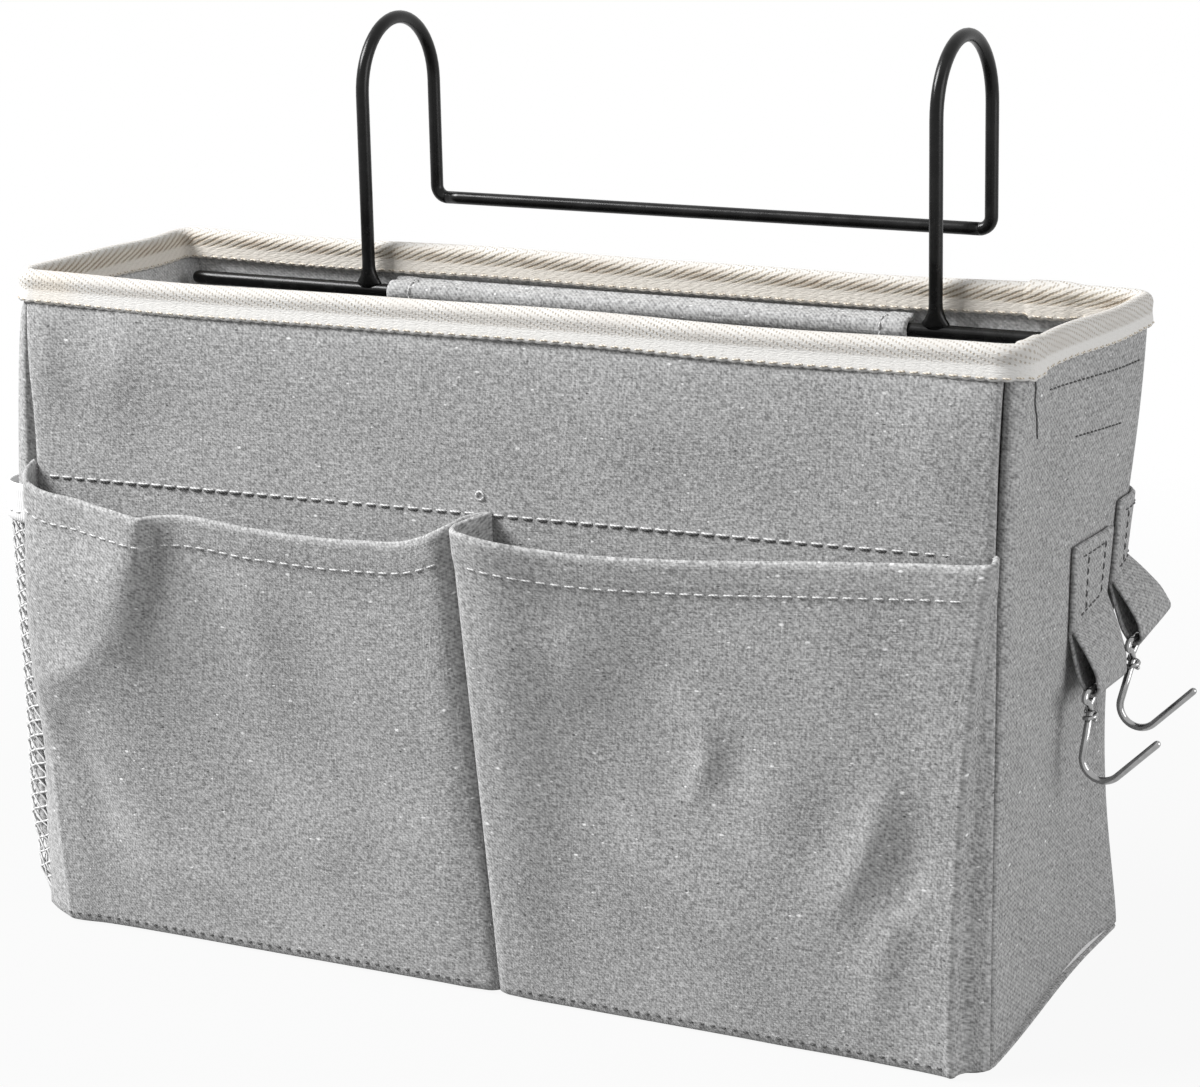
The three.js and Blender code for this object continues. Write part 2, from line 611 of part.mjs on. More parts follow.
// Rod flap: hangs from the binding, passes in front of the rod and is held to the lining below it.
function addFlap(bag) {
  const frame = new THREE.Group();
  frame.position.y = BASE_DEPTH / 2 - LINING_INSIDE_FACE;
  frame.rotation.x = Math.PI / 2 + FACE_LEAN;
  bag.add(frame);
  frame.updateMatrixWorld(true);

  const half = HOOK_SPACING / 2 - WELD_RADIUS - FLAP_END_ROOM;
  const fastenerHalf = half - FASTENER_INSET;
  const hinge = (BAG_HEIGHT - TAPE_DROP) / Math.cos(FACE_LEAN) - 2 * GAP;
  const fastenerTop = hinge - FASTENER_DROP;
  const fastenerFoot = fastenerTop - FASTENER_HEIGHT;
  const fastener = rectangle(HOOK_SHIFT - fastenerHalf, HOOK_SHIFT + fastenerHalf, fastenerFoot, fastenerTop);
  const loopTape = extrude(fastener, FASTENER_THICKNESS);
  loopTape.translate(0, 0, GAP);
  frame.add(mesh('loop_tape', loopTape, FASTENER_GREY));

  // The pivot is the flap's top edge on its open side.
  const flap = new THREE.Group();
  const pivotOut = GAP + FLAP_CLOTH;
  flap.position.set(0, hinge, pivotOut);
  frame.add(flap);
  const hookTapeOut = GAP + FASTENER_THICKNESS + GAP;
  const hookTape = extrude(fastener, FASTENER_THICKNESS);
  hookTape.translate(0, -hinge, hookTapeOut - pivotOut);
  flap.add(mesh('hook_tape', hookTape, FASTENER_GREY));

  // Profile seen along the rod: x out of the wall and y up, from the pivot.
  const rod = frame.worldToLocal(new THREE.Vector3(0, ROD_BACK, ROD_HEIGHT));
  const center = new THREE.Vector2(rod.z - pivotOut, rod.y - hinge);
  const wrap = ROD_RADIUS + FLAP_ROD_CLEARANCE + FLAP_CLOTH / 2;
  const top = new THREE.Vector2(-FLAP_CLOTH / 2, 0);
  const lowOut = hookTapeOut + FASTENER_THICKNESS + GAP + FLAP_CLOTH / 2 - pivotOut;
  const rest = new THREE.Vector2(lowOut, fastenerTop - hinge + FLAP_CLOTH);
  const foot = new THREE.Vector2(lowOut, fastenerFoot - hinge);
  // Angle, about the rod, of the point where a line from an outside point touches the wrap.
  const touch = (point, side) => {
    const away = new THREE.Vector2().subVectors(point, center);
    return away.angle() + side * Math.acos(wrap / away.length());
  };
  const from = touch(top, -1);
  const to = touch(rest, 1) - 2 * Math.PI;
  const points = [top];
  for (let i = 0; i <= CORNER_STEPS; i += 1) {
    const angle = from + (to - from) * i / CORNER_STEPS;
    points.push(new THREE.Vector2(Math.cos(angle), Math.sin(angle)).multiplyScalar(wrap).add(center));
  }
  points.push(rest, foot);
  const cloth = extrude(ribbon(points, FLAP_CLOTH), 2 * half);
  cloth.rotateY(-Math.PI / 2);
  cloth.translate(HOOK_SHIFT + half, 0, 0);
  flap.add(mesh('rod_flap', cloth, CANVAS_GREY));
}

const caddy = new THREE.Group();
addShell(caddy);
addPockets(caddy);
addNetPocket(caddy);
addStraps(caddy);
addHanger(caddy);
addFlap(caddy);

export default caddy;
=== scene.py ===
"""Bedside caddy in grey canvas: bound rim, front pockets, side net, key straps and a tilting wire hanger."""
import json
import math

import bpy
import numpy as np
from mathutils import Matrix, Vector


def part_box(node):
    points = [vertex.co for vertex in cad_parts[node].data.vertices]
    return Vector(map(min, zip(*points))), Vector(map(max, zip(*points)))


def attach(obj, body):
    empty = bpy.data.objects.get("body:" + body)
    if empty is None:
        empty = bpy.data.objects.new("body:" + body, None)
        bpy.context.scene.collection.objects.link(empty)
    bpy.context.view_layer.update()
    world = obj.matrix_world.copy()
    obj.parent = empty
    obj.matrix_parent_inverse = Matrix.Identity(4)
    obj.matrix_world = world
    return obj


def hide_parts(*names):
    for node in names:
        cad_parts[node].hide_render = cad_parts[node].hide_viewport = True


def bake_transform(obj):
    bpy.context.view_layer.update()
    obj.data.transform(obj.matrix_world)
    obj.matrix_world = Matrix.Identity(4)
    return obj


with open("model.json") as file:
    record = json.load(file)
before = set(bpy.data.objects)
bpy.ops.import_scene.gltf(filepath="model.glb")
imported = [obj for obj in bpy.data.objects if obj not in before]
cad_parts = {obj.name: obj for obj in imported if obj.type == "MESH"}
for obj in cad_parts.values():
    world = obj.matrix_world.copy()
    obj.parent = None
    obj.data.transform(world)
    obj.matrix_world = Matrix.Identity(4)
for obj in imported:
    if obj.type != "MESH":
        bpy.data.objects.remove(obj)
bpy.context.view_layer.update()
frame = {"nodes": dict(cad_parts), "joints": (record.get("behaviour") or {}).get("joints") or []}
scene = bpy.context.scene

MM = 0.001
X, Y, Z = np.eye(3)


def low(node_name):
    return np.array(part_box(node_name)[0]) / MM


def high(node_name):
    return np.array(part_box(node_name)[1]) / MM


def middle(node_name):
    return (low(node_name) + high(node_name)) / 2


def pivot(joint):
    return np.array(next(j["pos_m"] for j in frame["joints"] if j["name"] == joint)) / MM


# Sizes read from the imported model
CANVAS = high("base_panel")[2]
BASE_HALF_WIDTH, BASE_HALF_DEPTH = high("base_panel")[:2]
BAG_HEIGHT = high("front_panel")[2]
RIM_HALF_WIDTH = high("right_side_panel")[0]
RIM_HALF_DEPTH = CANVAS - high("front_panel")[1]
RIM_TOP = high("rim_binding")[2]
ROD_RADIUS = (high("support_rod")[2] - low("support_rod")[2]) / 2
WIRE_RADIUS = (high("rear_bar")[2] - low("rear_bar")[2]) / 2
HANGER_AXIS = pivot("hanger_tilt")
REAR_LEG = high("rear_bar")[1] - WIRE_RADIUS
BAR_HEIGHT = middle("rear_bar")[2]
NET_FOOT = low("net_pocket")[2]
NET_TOP = high("net_pocket")[2]

# The slack of the bag, read from the photograph
CORNER = 8
BACK_CORNER_SLACK = 13
SIDE_SINK = 4.5
SLACK_REACH = 60
FRONT_RIM_SHIFT = -5
BACK_RIM_SPREAD = 3
LEFT_FOOT_SPREAD = 3
RIGHT_FOOT_SPREAD = 6
SWELL = 11
SWELL_RUN = 14
SWELL_FALL = 68
SWELL_BACK = 50
SWELL_FOOT = (2, 34)

# The unevenness of each cloth: its height, the size of its waves and its seed
FRONT_UNEVEN = (0.3, 28, 1)
BACK_UNEVEN = (0.4, 32, 2)
RIGHT_UNEVEN = (0.7, 17, 3)
LEFT_UNEVEN = (0.7, 17, 4)
LINING_UNEVEN = (1, 24, 5)
FLOOR_UNEVEN = (0.25, 22, 6)
TAPE_UNEVEN = (0.8, 34, 8)
RIGHT_POCKET_UNEVEN = (0.9, 22, 11)
LEFT_POCKET_UNEVEN = (0.9, 24, 12)
FLAP_UNEVEN = (0.25, 14, 21)

# The canvas's yarns
SLUB = 3.4
YARN = 0.75
GRAIN = 1.5
RIB_PITCH = 1.15
RIB_LEAN = math.radians(50)

# The seams at the front corners, as shares of the corner, and how far the cloth is drawn in at a seam
SEAM_AT_RIM = 0.27
SEAM_AT_FOOT = 0.68
SEAM_DIP = 3.2
SEAM_WIDTH = 0.85

# The layers of the wall, from the canvas inwards
PANEL_FOOT = 1.6
PANEL_TOP = BAG_HEIGHT - 1
LINING = 0.8
LINING_AT_FACES = 3.7
LINING_AT_SIDES = 1.9
LINING_FLOOR = high("lining")[2] - BAG_HEIGHT + LINING_AT_FACES
LINING_FOOT_GAP = 1
LINING_EDGE_GAP = 0.4

# The rim tape, where its ends lap over (the lap's start, full part and end), and a mark near one corner
TAPE_EDGE_RISE = 1.5
TAPE_EDGE = low("rim_binding")[2] + TAPE_EDGE_RISE
TAPE_THINNED = 0.75
TAPE = (high("rim_binding")[0] - RIM_HALF_WIDTH) * TAPE_THINNED
TAPE_FOLD = 6
TAPE_WIDTH = 2 * (RIM_TOP - TAPE_EDGE) + TAPE_FOLD
TAPE_GAP = 0.2
TAPE_PITCH = 4.4
# Width of the paler band along the tape's lower edge, whose paleness is partly painted highlight
SELVEDGE_AND_HIGHLIGHT = 4.6
TAPE_SCALLOP = 0.45
TAPE_PULL = 3
SIDE_LAP = (-50, -45, -36, -35.4)
BACK_LAP = (150, 150.6, 162, 170)
LAP_RISE = 0.8
LAP_DROP = 0.9
STAIN_PLACE = (-178, -57, 224)

# The pockets' hems
POCKET_ROWS = 78
HEM_SHARE = 9.5 / 160
HEM_THICKENS = 0.75

# The net
NET_SHARE_OF_BULGE = 0.86
NET_FRONT_EDGE = 1.5
NET_BACK_EDGE = 6
NET_MESH = 5.3
NET_CORD_RADIUS = 0.43
NET_GAP = 1
NET_LEAST_CLEAR = 2
ELASTIC_THICKNESS = 1.9
ELASTIC_LAP = 1
ELASTIC_TRIM = 0.5
ELASTIC_OUT = 0.3

# The key straps and hooks
STRAP_COLUMNS = 14
STRAP_FOLD = 2.4
TAB = 2
TAB_GAP = 0.2
TAB_DROP = 1
LOOP_CLOTH = 1.1
LOOP_BELLY_OUTSIDE = 0.8
LOOP_BELLY_INSIDE = 0.5
KEY_WIRE = 1.25
KEY_EYE_WIDTH = 5.6
KEY_EYE_HEIGHT = 7
KEY_EYE_SHOULDER = 1.6
KEY_EYE_CROWN = 0.2
KEY_EYE_TWIST = 0.4
KEY_EYE_END = (-1.2, 0.6, -0.4)
KEY_WRAP = 1.9
KEY_WRAP_DROP = 0.6
KEY_WRAP_FALL = 0.36
KEY_WRAP_TURNS = 1.3
KEY_WRAP_START = 0.4
KEY_SHANK = 15.5
KEY_BEND = 7
KEY_ARM = 18.5
KEY_ARM_RISE = math.radians(44)

# The hanger and its flap
BAR_BEND = 4.5
WELD_HEIGHT = 7
WELD_FLARE = 1.2
FLAP_CLOTH = 1
FLAP_HEM = 9
FLAP_KNEE = 17
FLAP_GAP = 0.4
STRIP = 0.75
STRIP_MARGIN = 0.4

# The camera that took the photograph, in the photograph's own pixels, and the point it looks at
PHOTO_WIDTH, PHOTO_HEIGHT = 1200, 1087
FOCAL_PIXELS = 3406
CENTRE_PIXEL = (570.7, 510.1)
AZIMUTH, ELEVATION, ROLL = np.radians((28.22, 13.95, -1.32))
TARGET = 150 * Z
DISTANCE = 1187.9


# Mesh building


def smoothstep(start, end, value):
    t = np.clip((value - start) / (end - start), 0.0, 1.0)
    return t * t * (3.0 - 2.0 * t)


def band(value, start, full, fade, end):
    """1 from full to fade and 0 outside start and end, with soft flanks."""
    return smoothstep(start, full, value) * smoothstep(end, fade, value)


def axes(grid):
    """The x, y and z of a grid's points; a change to them moves the points."""
    return np.moveaxis(grid, -1, 0)


def unit(vectors):
    return vectors / np.linalg.norm(vectors, axis=-1, keepdims=True)


def travelled(path):
    """The distance along a path at each of its points."""
    return np.append(0, np.cumsum(np.linalg.norm(np.diff(path, axis=0), axis=1)))


def add_mesh(name, vertices, faces, material, uv=None):
    """One smooth mesh object; uv holds a pair for each corner of each face, as lengths on the cloth."""
    mesh = bpy.data.meshes.new(name)
    mesh.from_pydata((np.asarray(vertices) * MM).tolist(), [], faces)
    mesh.polygons.foreach_set("use_smooth", [True] * len(mesh.polygons))
    if uv is not None:
        layer = mesh.uv_layers.new(name="cloth")
        layer.data.foreach_set("uv", (np.asarray(uv) * MM).astype(np.float32).ravel())
    mesh.materials.append(material)
    made = bpy.data.objects.new(name, mesh)
    scene.collection.objects.link(made)
    return made


def dress(piece, body, node_name=None):
    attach(piece, body)
    if node_name:
        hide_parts(node_name)
    return piece


def cloth(piece, body, slot, node_name, flat, held, **more):
    """Dresses a sheet; its flat size, in metres, and how it is held are given but not used."""
    dress(piece, body, node_name)


def grid_normals(grid, closed=False):
    if closed:
        across = np.roll(grid, -1, 1) - np.roll(grid, 1, 1)
    else:
        across = np.gradient(grid, axis=1)
    return unit(np.cross(across, np.gradient(grid, axis=0)))


def cloth_lengths(grid, closed):
    """Each grid point's (across, along), measured on the cloth, with one more column if it closes."""
    wide = np.concatenate([grid, grid[:, :1]], axis=1) if closed else grid
    across = travelled(wide[len(wide) // 2])
    along = travelled(grid[:, grid.shape[1] // 2])
    return np.stack(np.broadcast_arrays(across[None, :], along[:, None]), axis=-1)


def border_loops(rows, cols, closed):
    """The grid's edges as loops of (row, column), turning the same way as its faces."""
    first, last = [(0, c) for c in range(cols)], [(rows - 1, c) for c in reversed(range(cols))]
    if closed:
        return [first, last]
    down, up = [(r, cols - 1) for r in range(1, rows - 1)], [(r, 0) for r in range(rows - 2, 0, -1)]
    return [first + down + last + up]


def outward_at(grid, row, col, closed):
    """The direction away from the grid at a point of its edge."""
    rows, cols = grid.shape[:2]
    way = np.zeros(3)
    for down, right in ((-1, 0), (1, 0), (0, -1), (0, 1)):
        past_rows = not 0 <= row + down < rows
        past_columns = not closed and not 0 <= col + right < cols
        if past_rows or past_columns:
            way += unit(grid[row, col] - grid[row - down, col - right])
    return unit(way)


def sheet(name, grid, thickness, material, closed=False, uv=None):
    """Cloth from a grid of points on its middle surface: an outer and an inner face and a rounded edge."""
    rows, cols = grid.shape[:2]
    count = rows * cols
    thickness = np.broadcast_to(thickness, (rows, cols))
    lift = grid_normals(grid, closed) * thickness[..., None] / 2
    uv = cloth_lengths(grid, closed) if uv is None else uv
    vertices = [(grid + lift).reshape(-1, 3), (grid - lift).reshape(-1, 3)]
    faces, corners = [], []
    for r in range(rows - 1):
        for c in range(cols if closed else cols - 1):
            places = [(r, c), (r, c + 1), (r + 1, c + 1), (r + 1, c)]
            square = [row * cols + col % cols for row, col in places]
            faces += [square, [count + p for p in reversed(square)]]
            corners += [uv[place] for place in places + places[::-1]]
    start = 2 * count
    for loop in border_loops(rows, cols, closed):
        edge, past = [], []
        for r, c in loop:
            edge.append(grid[r, c] + outward_at(grid, r, c, closed) * thickness[r, c] * 0.45)
            within = min(max(r, 1), rows - 2), c if closed else min(max(c, 1), cols - 2)
            past.append(uv[r, c] + unit(uv[r, c] - uv[within]) * thickness[r, c] / 2)
        vertices.append(np.array(edge))
        for i, place in enumerate(loop):
            n = (i + 1) % len(loop)
            here, after = (row * cols + col for row, col in (place, loop[n]))
            faces.append([here, start + i, start + n, after])
            corners += [uv[place], past[i], past[n], uv[loop[n]]]
            faces.append([start + i, count + here, count + after, start + n])
            corners += [past[i], uv[place], uv[loop[n]], past[n]]
        start += len(loop)
    return add_mesh(name, np.concatenate(vertices), faces, material, corners)


def tube(path, radius, sides):
    """Vertices and faces of a round tube along a path, with flat ends."""
    path = np.asarray(path, float)
    radius = np.broadcast_to(radius, len(path))
    tangent = unit(np.gradient(path, axis=0))
    across = np.cross(tangent[0], (0.31, 0.52, 0.79))
    turn = np.arange(sides) * 2 * math.pi / sides
    rings = []
    for point, way, size in zip(path, tangent, radius):
        across = unit(across - way * np.dot(across, way))
        other = np.cross(way, across)
        rings.append(point + size * (np.cos(turn)[:, None] * across + np.sin(turn)[:, None] * other))
    faces = []
    for i in range(len(path) - 1):
        for s in range(sides):
            n = (s + 1) % sides
            faces.append([i * sides + s, i * sides + n, (i + 1) * sides + n, (i + 1) * sides + s])
    last = (len(path) - 1) * sides
    faces.append(list(range(sides))[::-1])
    faces.append([last + s for s in range(sides)])
    return np.concatenate(rings), faces


def arc(centre, radius, first, second, angles):
    """Points round a centre, turning from the way first towards the way second."""
    turn = np.asarray(angles)[:, None]
    return centre + radius * (np.cos(turn) * first + np.sin(turn) * second)


def joined(parts):
    """Several meshes' vertices and faces as one."""
    vertices, faces, start = [], [], 0
    for points, polygons in parts:
        vertices.append(points)
        faces += [[p + start for p in polygon] for polygon in polygons]
        start += len(points)
    return np.concatenate(vertices), faces


def round_ended(path, radius, start=True):
    """A path and its radii with a dome at its end and, if asked, at its start."""
    path = np.asarray(path, float)
    radii = np.full(len(path), radius)
    tilts = np.radians((35, 62, 82))
    out, size = radius * np.sin(tilts)[:, None], radius * np.cos(tilts)
    first, last = unit(path[0] - path[1]), unit(path[-1] - path[-2])
    if start:
        path = np.concatenate([path[0] + first * out[::-1], path])
        radii = np.concatenate([size[::-1], radii])
    return np.concatenate([path, path[-1] + last * out]), np.concatenate([radii, size])


def spline(points, counts):
    """A smooth curve through the points, with counts[k] steps from point k to the next."""
    points = np.asarray(points, float)
    gaps = np.diff(travelled(points))
    slopes = np.diff(points, axis=0) / gaps[:, None]
    tangents = np.empty_like(points)
    tangents[0], tangents[-1] = slopes[0], slopes[-1]
    share = (gaps[1:] / (gaps[1:] + gaps[:-1]))[:, None]
    tangents[1:-1] = share * slopes[:-1] + (1 - share) * slopes[1:]
    made = [points[:1]]
    for k, count in enumerate(counts):
        t = (np.arange(1, count + 1) / count)[:, None]
        start, end = points[k], points[k + 1]
        leave, arrive = tangents[k] * gaps[k], tangents[k + 1] * gaps[k]
        made.append(
            (2 * t**3 - 3 * t**2 + 1) * start + (t**3 - 2 * t**2 + t) * leave
            + (3 * t**2 - 2 * t**3) * end + (t**3 - t**2) * arrive
        )
    return np.concatenate(made)


def between(where, knots, vectors):
    """Vectors that are given at knots, read at other places."""
    return np.stack([np.interp(where, knots, vectors[:, k]) for k in range(3)], axis=1)


def stitch_row(name, path, out, stitch, body="bag", slot="canvas"):
    """A row of sewn stitches along a path; out is the way off the cloth, one for the row or one a point."""
    material, pitch, length, thread = stitch
    out = np.broadcast_to(np.asarray(out, float), path.shape)
    knots = travelled(path)
    rise = np.array((-1.0, 0.6, 0.9, 0.6, -1.0))[:, None] * thread
    parts = []
    for k in range(int(knots[-1] / pitch)):
        where = (k + 0.5) * pitch + np.linspace(-0.5, 0.5, 5) * length
        lifted = between(where, knots, path) + between(where, knots, out) * rise
        parts.append(tube(lifted, thread, 6))
    return dress(add_mesh(name, *joined(parts), material), body)


def sew(name, grid, where, lift, stitch, **kind):
    """A row of stitches along part of a grid, lifted off the cloth's middle surface."""
    out = grid_normals(grid)[where]
    return stitch_row(name, grid[where] + out * lift, out, stitch, **kind)


# Materials


def feed(made, inputs):
    """Sets a node's inputs; an input that is a socket is linked."""
    for key, value in inputs.items():
        if isinstance(value, bpy.types.NodeSocket):
            made.id_data.links.new(value, made.inputs[key])
        else:
            made.inputs[key].default_value = value


def node(tree, kind, inputs, **settings):
    """A shader node with its inputs and its settings."""
    made = tree.nodes.new("ShaderNode" + kind)
    for key, value in settings.items():
        setattr(made, key, value)
    feed(made, inputs)
    return made


def new_material(name):
    material = bpy.data.materials.new(name)
    material.use_nodes = True
    return material, material.node_tree


def surface(material, colour, roughness, height, strength, depth, **levels):
    """Gives a material its colour, roughness and relief; levels are other inputs of its shader."""
    tree = material.node_tree
    relief = node(tree, "Bump", {"Height": height, "Strength": strength, "Distance": depth * MM}).outputs[0]
    inputs = {"Base Color": colour, "Roughness": roughness, "Normal": relief}
    inputs.update((name.replace("_", " "), level) for name, level in levels.items())
    feed(tree.nodes["Principled BSDF"], inputs)
    return material


def maths(operation, first, second=0.0):
    return node(first.id_data, "Math", {0: first, 1: second}, operation=operation).outputs[0]


def plus(first, second, weight):
    """The first value and a share of the second."""
    return maths("ADD", first, maths("MULTIPLY", second, weight))


def mix(share, first, second):
    return node(share.id_data, "Mix", {0: share, 6: first, 7: second}, data_type="RGBA").outputs[2]


def span(value, start, end, first=0.0, last=1.0):
    """The value carried from one range to another, held at the ends."""
    limits = {"From Min": start, "From Max": end, "To Min": first, "To Max": last}
    return node(value.id_data, "MapRange", {"Value": value, **limits}).outputs[0]


def cloth_place(tree, across=1.0, along=1.0, turn=0.0):
    """The cloth's own coordinates, in units of the two given lengths."""
    uv = node(tree, "UVMap", {}, uv_map="cloth").outputs["UV"]
    sizes = (1 / (across * MM), 1 / (along * MM), 1)
    return node(tree, "Mapping", {"Vector": uv, "Rotation": (0, 0, turn), "Scale": sizes}).outputs[0]


def object_place(tree, size=1.0):
    """The object's own coordinates, in units of a length."""
    place = node(tree, "TexCoord", {}).outputs["Object"]
    return node(tree, "Mapping", {"Vector": place, "Scale": [1 / (size * MM)] * 3}).outputs[0]


def noise(place, detail=2.0):
    inputs = {"Vector": place, "Scale": 1.0, "Detail": detail, "Roughness": 0.6}
    return node(place.id_data, "TexNoise", inputs).outputs["Fac"]


def object_noise(tree, size):
    return noise(object_place(tree, size), 3.0)


def split(place):
    return node(place.id_data, "SeparateXYZ", {0: place}).outputs


def wave(value, pitch):
    return maths("SINE", maths("MULTIPLY", value, 2 * math.pi / pitch))


def twill(tree, pitch, lean):
    """Waves from 0 to 1 across the cloth's diagonal ribs."""
    across, up, _ = split(cloth_place(tree))
    ribs = plus(maths("MULTIPLY", across, math.cos(lean)), up, math.sin(lean))
    return span(wave(ribs, pitch), -1.0, 1.0)


def twist(tree, scale, distortion):
    """Diagonal bands over the object, like the plies of a thread."""
    inputs = {"Vector": object_place(tree), "Scale": scale, "Distortion": distortion}
    return node(tree, "TexWave", inputs, bands_direction="DIAGONAL").outputs["Fac"]


def cells(place):
    return node(place.id_data, "TexVoronoi", {"Vector": place, "Scale": 1.0}).outputs


def specks(tree, spacing, size, share):
    """1 on small flecks scattered over the cloth, 0 elsewhere."""
    flecks = cells(cloth_place(tree, spacing * 1.5, spacing * 0.8, 0.3))
    kept = maths("LESS_THAN", node(tree, "SeparateColor", {0: flecks["Color"]}).outputs[0], share)
    return maths("MULTIPLY", kept, span(flecks["Distance"], size, size * 0.4))


def grey(value):
    return (value, value, value, 1)


def canvas_material(name, dark, light):
    """Heathered canvas: light and dark yarns both ways, slubs, a diagonal rib, white and dark flecks."""
    material, tree = new_material(name)
    yarns = maths("ADD", noise(cloth_place(tree, SLUB, YARN)), noise(cloth_place(tree, YARN, SLUB)))
    yarns = plus(yarns, noise(cloth_place(tree, GRAIN, GRAIN), 3.0), 1.3)
    yarns = plus(yarns, twill(tree, RIB_PITCH, RIB_LEAN), 0.22)
    yarns = plus(yarns, noise(cloth_place(tree, 24, 24)), 0.25)
    yarns = span(yarns, 1.52, 2.28)
    colour = mix(yarns, grey(dark), grey(light))
    colour = mix(specks(tree, 3.6, 0.13, 0.34), colour, grey(light * 1.5))
    colour = mix(specks(tree, 8, 0.09, 0.5), colour, grey(light * 1.65))
    colour = mix(specks(tree, 4.4, 0.12, 0.40), colour, grey(dark * 0.45))
    return surface(
        material, colour, span(yarns, 0.0, 1.0, 0.98, 0.84), yarns, 0.4, 0.4,
        Specular_IOR_Level=0.2, Sheen_Weight=0.08, Sheen_Roughness=0.5,
    )


def tape_material():
    """Cream twill tape: shallow ribs that turn at the fold, pitted outside. Inside, the brown between the
    ribs is painted shade and the warm, paler tint is painted light and shade; a real stain lies near one
    corner. Along the lower edge a band is paler and less pitted, partly as painted highlight.
    """
    material, tree = new_material("cream_tape")
    round_rim, over_rim, _ = split(cloth_place(tree))
    from_fold = maths("ABSOLUTE", maths("SUBTRACT", over_rim, TAPE_WIDTH / 2))
    wander = maths("MULTIPLY", noise(cloth_place(tree, 9, 4)), 1.2)
    ribs = wave(plus(maths("ADD", from_fold, wander), round_rim, -0.42), 1.8)
    picks = wave(plus(round_rim, wander, 0.7), 1.25)
    # The inside face: it gets the painted shade of brown grooves and a warm tint
    inside = span(over_rim, TAPE_WIDTH * 0.50, TAPE_WIDTH * 0.60)
    patches = noise(cloth_place(tree, 20, 9))
    pits = span(plus(ribs, picks, 0.8), -0.55, -1.35)
    pits = maths("MULTIPLY", pits, span(patches, 0.35, 0.65, 0.35, 0.85))
    lines = span(plus(ribs, picks, 0.25), 0.2, -0.9)
    place = object_place(tree)
    # A band along the lower edge with fewer pits, paler as painted highlight on the tape's lip
    selvedge_and_highlight = span(split(place)[2], TAPE_EDGE + SELVEDGE_AND_HIGHLIGHT + 0.5, TAPE_EDGE + SELVEDGE_AND_HIGHLIGHT - 0.5)
    groove = maths("MULTIPLY", mix(inside, pits, lines), span(selvedge_and_highlight, 0, 1, 1, 0.12))
    from_stain = node(tree, "VectorMath", {0: place, 1: STAIN_PLACE}, operation="DISTANCE").outputs["Value"]
    # Warm tint on the inside face as painted light and shade, and on a real stain near one corner
    stain_and_inside_shade = maths("MAXIMUM", inside, span(plus(from_stain, patches, 12), 22, 10, 0.0, 0.8))
    light = span(patches, 0.35, 0.7)
    pale = mix(light, (0.60, 0.58, 0.55, 1), (0.66, 0.65, 0.63, 1))
    pale = mix(stain_and_inside_shade, pale, mix(light, (0.64, 0.58, 0.50, 1), (0.74, 0.70, 0.63, 1)))
    pale = mix(selvedge_and_highlight, pale, mix(stain_and_inside_shade, (0.72, 0.71, 0.69, 1), (0.74, 0.70, 0.64, 1)))
    brown = mix(light, (0.25, 0.18, 0.115, 1), (0.38, 0.32, 0.23, 1))
    colour = mix(maths("MULTIPLY", groove, 0.8), pale, brown)
    weave = maths("SUBTRACT", noise(cloth_place(tree, 1.5, 0.5)), groove)
    roughness = span(weave, -1.0, 0.8, 0.97, 0.8)
    return surface(material, colour, roughness, weave, 0.6, 0.4, Specular_IOR_Level=0.25)


def elastic_material():
    """White ribbed elastic."""
    material, tree = new_material("white_elastic")
    ribs = twill(tree, 1.1, 0.0)
    return surface(material, mix(ribs, grey(0.66), grey(0.86)), 0.8, ribs, 0.5, 0.3)


def thread_material(name, colour, shadow):
    """Sewing thread with its two plies twisted together."""
    material, tree = new_material(name)
    plies = twist(tree, 0.42, 1.5)
    return surface(material, mix(span(plies, 0.2, 0.9), shadow, colour), 0.7, plies, 0.3, 0.1)


def net_material():
    """White knitted cord, greyed as painted shade of its shaded sides, and darker between its loops."""
    material, tree = new_material("white_net")
    loops = twist(tree, 0.21, 2.0)
    # The grey tones are painted shade on white cord
    return surface(material, mix(span(loops, 0.1, 0.8), grey(0.46), grey(0.68)), 0.8, loops, 0.4, 0.2)


def paint_material():
    """Gloss black paint on wire, with a faint ripple and dust."""
    material, tree = new_material("black_paint")
    dust = object_noise(tree, 9)
    colour = mix(span(dust, 0.45, 0.8), grey(0.004), grey(0.011))
    roughness = span(dust, 0.3, 0.8, 0.2, 0.36)
    return surface(material, colour, roughness, object_noise(tree, 2.5), 0.12, 0.2, Specular_IOR_Level=0.2)


def chrome_material():
    """Plated wire with drawing marks and faint haze, its greys darker than plating as a painted reflection of
    dark surroundings.
    """
    material, tree = new_material("chromed_wire")
    haze = object_noise(tree, 3)
    # Dark greys for the plating: a painted reflection of dark surroundings
    colour = mix(span(haze, 0.4, 0.75), grey(0.36), grey(0.27))
    roughness = span(haze, 0.35, 0.75, 0.09, 0.24)
    return surface(material, colour, roughness, object_noise(tree, 1.2), 0.08, 0.1, Metallic=1.0)


def board_material():
    """Pressed sheet stiffener, matt, with a fine pebble."""
    material, tree = new_material("board")
    pebble = object_noise(tree, 0.8)
    colour = mix(object_noise(tree, 30), grey(0.68), grey(0.76))
    return surface(material, colour, span(pebble, 0.3, 0.7, 0.5, 0.65), pebble, 0.3, 0.2)


def fastener_material():
    """Dark hook-and-loop tape: a dense pile of tiny hooks."""
    material, tree = new_material("fastener_pile")
    hooks = cells(cloth_place(tree, 1.2, 1.2))["Distance"]
    return surface(material, mix(span(hooks, 0.1, 0.7), grey(0.22), grey(0.07)), 0.85, hooks, 0.8, -0.6)


CANVAS_CLOTH = canvas_material("grey_canvas", 0.20, 0.57)
